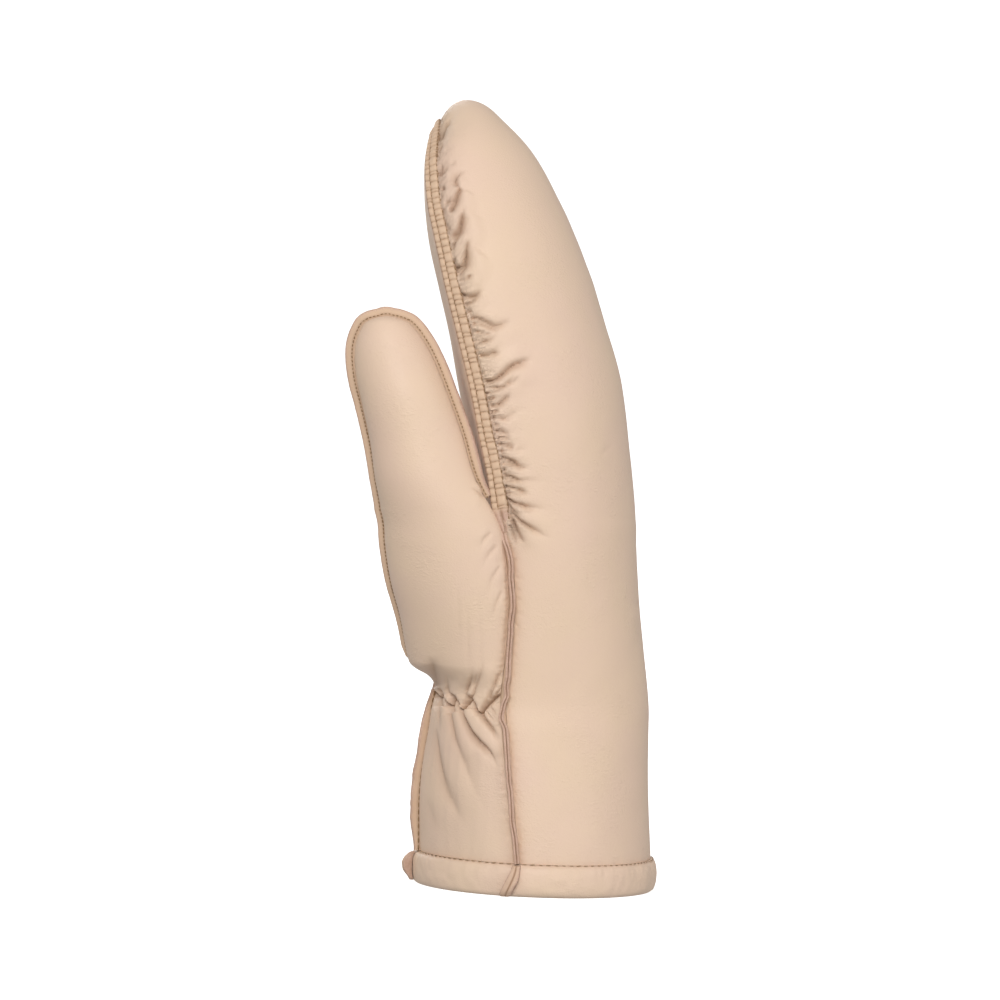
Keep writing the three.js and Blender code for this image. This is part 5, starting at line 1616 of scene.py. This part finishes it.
stitchPieces = [
    stitchRow("stripStitchesInner", (trackMiddle + seamOutward * 0.42)[::3], seamOutward[::3], strip["pitch"],
              length=1.25, thickness=0.42, seed=1),
    stitchRow("stripStitchesOuter", (trackFar + seamOutward * 0.3)[::3], seamOutward[::3], strip["pitch"],
              length=1.25, thickness=0.5, seed=2),
]
weltSide = sideOf(thumbWeltLine, thumbWeltOutward)
line = thumbWeltLine + weltSide * (thumbWelt["thickness"] / 2 + 0.12) + thumbWeltOutward * 0.35
stitchPieces.append(
    stitchRow("thumbWeltStitches", line, weltSide, 1.35, length=1.0, thickness=0.4, seed=3, wander=0.2)
)

at = np.linspace(0.02, 1.0, 300)
line = frontPoint(at, 0 * at + 0.022)
facing = sideOf(line, unit(frontPoint(at, 0 * at + 0.05) - line))
stitchPieces.append(
    stitchRow("palmWeltStitches", line + facing * 0.1, facing, 2.4, length=1.8, thickness=0.45, seed=5)
)

share = np.linspace(0, 1, 900)
outside = hemSection()[:hem["rows"]]
topOut = np.interp(hemHeight - 0.15, outside[:, 1], outside[:, 0])
line = hemLine(share) + hemOutward(share) * (topOut + 0.25) + vector(0, 0, hemHeight + 0.1 + 0 * share)
stitchPieces.append(
    stitchRow("hemStitches", line, hemOutward(share), 2.7, length=1.7, thickness=0.32, seed=4, wander=0.14)
)
print("stitches made")

for piece, node in (
    (backLeather, "back_leather"), (palmLeather, "palm_leather"), (thumbFrontLeather, "thumb_front_leather"),
    (thumbRearLeather, "thumb_rear_leather"), (fingerSeamStrip, "finger_seam_strip"), (hemBand, "hem_band"),
    (sideWeltThumbSide, "side_welt_thumb_side"), (sideWeltLittleFingerSide, "side_welt_little_finger_side"),
    (palmWelt, "palm_welt"), (thumbWeltPiece, "thumb_welt"), (thumbRootWelt, "thumb_root_welt"),
    (sideWeltTail, "side_welt_tail"), (littleFingerWeltTail, "little_finger_welt_tail"),
    (palmWeltTail, "palm_welt_tail"),
):
    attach(piece, "root")
    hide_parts(node)
for piece in stitchPieces:
    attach(piece, "root")

# The stage: a round pale floor that curves up into a wall, and soft light from the front
stage = {"floor": 0.9, "glow": 0.75, "radius": 2.2, "bend": 1.2, "top": 5.0, "sides": 96, "surround": 0.46}


def makeStage():
    bend = [(stage["radius"] + math.sin(a) * stage["bend"], stage["bend"] * (1 - math.cos(a)))
            for a in np.linspace(0, math.pi / 2, 16)]
    profile = bend + [(stage["radius"] + stage["bend"], stage["top"])]
    sides = stage["sides"]
    turns = [2 * math.pi * k / sides for k in range(sides)]
    vertices = [(0.0, 0.0, 0.0)] + [(r * math.cos(a), r * math.sin(a), z) for r, z in profile for a in turns]
    faces = [(0, 1 + k, 1 + (k + 1) % sides) for k in range(sides)]
    for ring in range(len(profile) - 1):
        for k in range(sides):
            a, b = 1 + ring * sides + k, 1 + ring * sides + (k + 1) % sides
            faces.append((a, a + sides, b + sides, b))
    mesh = bpy.data.meshes.new("backdrop")
    mesh.from_pydata(vertices, [], faces)
    shadeSmooth(mesh)
    finish = Finish("backdrop")
    pale = (stage["floor"],) * 3 + (1,)
    finish.look({
        "Base Color": pale, "Roughness": 0.9, "Specular IOR Level": 0.1, "Emission Color": (1, 1, 1, 1),
        "Emission Strength": stage["glow"],
    })
    mesh.materials.append(finish.material)
    backdrop = addObject("backdrop", mesh)
    # its glow makes the background white and leaves the mitten's light alone
    backdrop.visible_diffuse = False
    backdrop.visible_glossy = False
    backdrop.visible_shadow = False


def matrixOf(axes, place):
    rows = [[*(float(axis[k]) for axis in axes), float(place[k])] for k in range(3)]
    return Matrix([*rows, [0, 0, 0, 1]])


lightAim = (0, 0, 0.14)


def addLight(name, place, size, power, colour):
    light = bpy.data.lights.new(name, "AREA")
    light.shape = "DISK"
    light.size = size
    light.energy = power
    light.color = colour
    z = unit(np.array(place) - np.array(lightAim))
    x = unit(np.cross([0, 0, 1.0], z))
    addObject(name, light).matrix_world = matrixOf((x, np.cross(z, x), z), place)


makeStage()
addLight("key", (-0.2, -2.0, 1.0), 1.1, 27, (1, 0.995, 0.99))
addLight("side", (-1.7, -1.1, 0.7), 1.4, 3, (1, 0.995, 0.99))
addLight("back", (-0.8, 2.0, 1.1), 1.6, 15, (1, 0.99, 0.98))
addLight("fill", (1.6, -1.2, 0.5), 1.4, 9, (1, 0.99, 0.98))
world = bpy.data.worlds.new("studio")
world.use_nodes = True
background = world.node_tree.nodes["Background"]
fillSockets(world.node_tree, background, {"Color": (1, 1, 1, 1), "Strength": stage["surround"]})
bpy.context.scene.world = world
bpy.context.scene.view_settings.view_transform = "Standard"


def makeCamera():
    data = bpy.data.cameras.new("camera")
    data.lens = photoCamera["lens"]
    data.sensor_width = photoCamera["sensor"]
    data.clip_end = 20
    camera = addObject("camera", data)
    roll = math.radians(photoCamera["roll"])
    place = placed([photoCamera["x"], -photoCamera["distance"], photoCamera["z"]])
    axes = ((math.cos(roll), 0, math.sin(roll)), (-math.sin(roll), 0, math.cos(roll)), (0, -1, 0))
    camera.matrix_world = matrixOf(axes, place)
    bpy.context.scene.camera = camera


makeCamera()
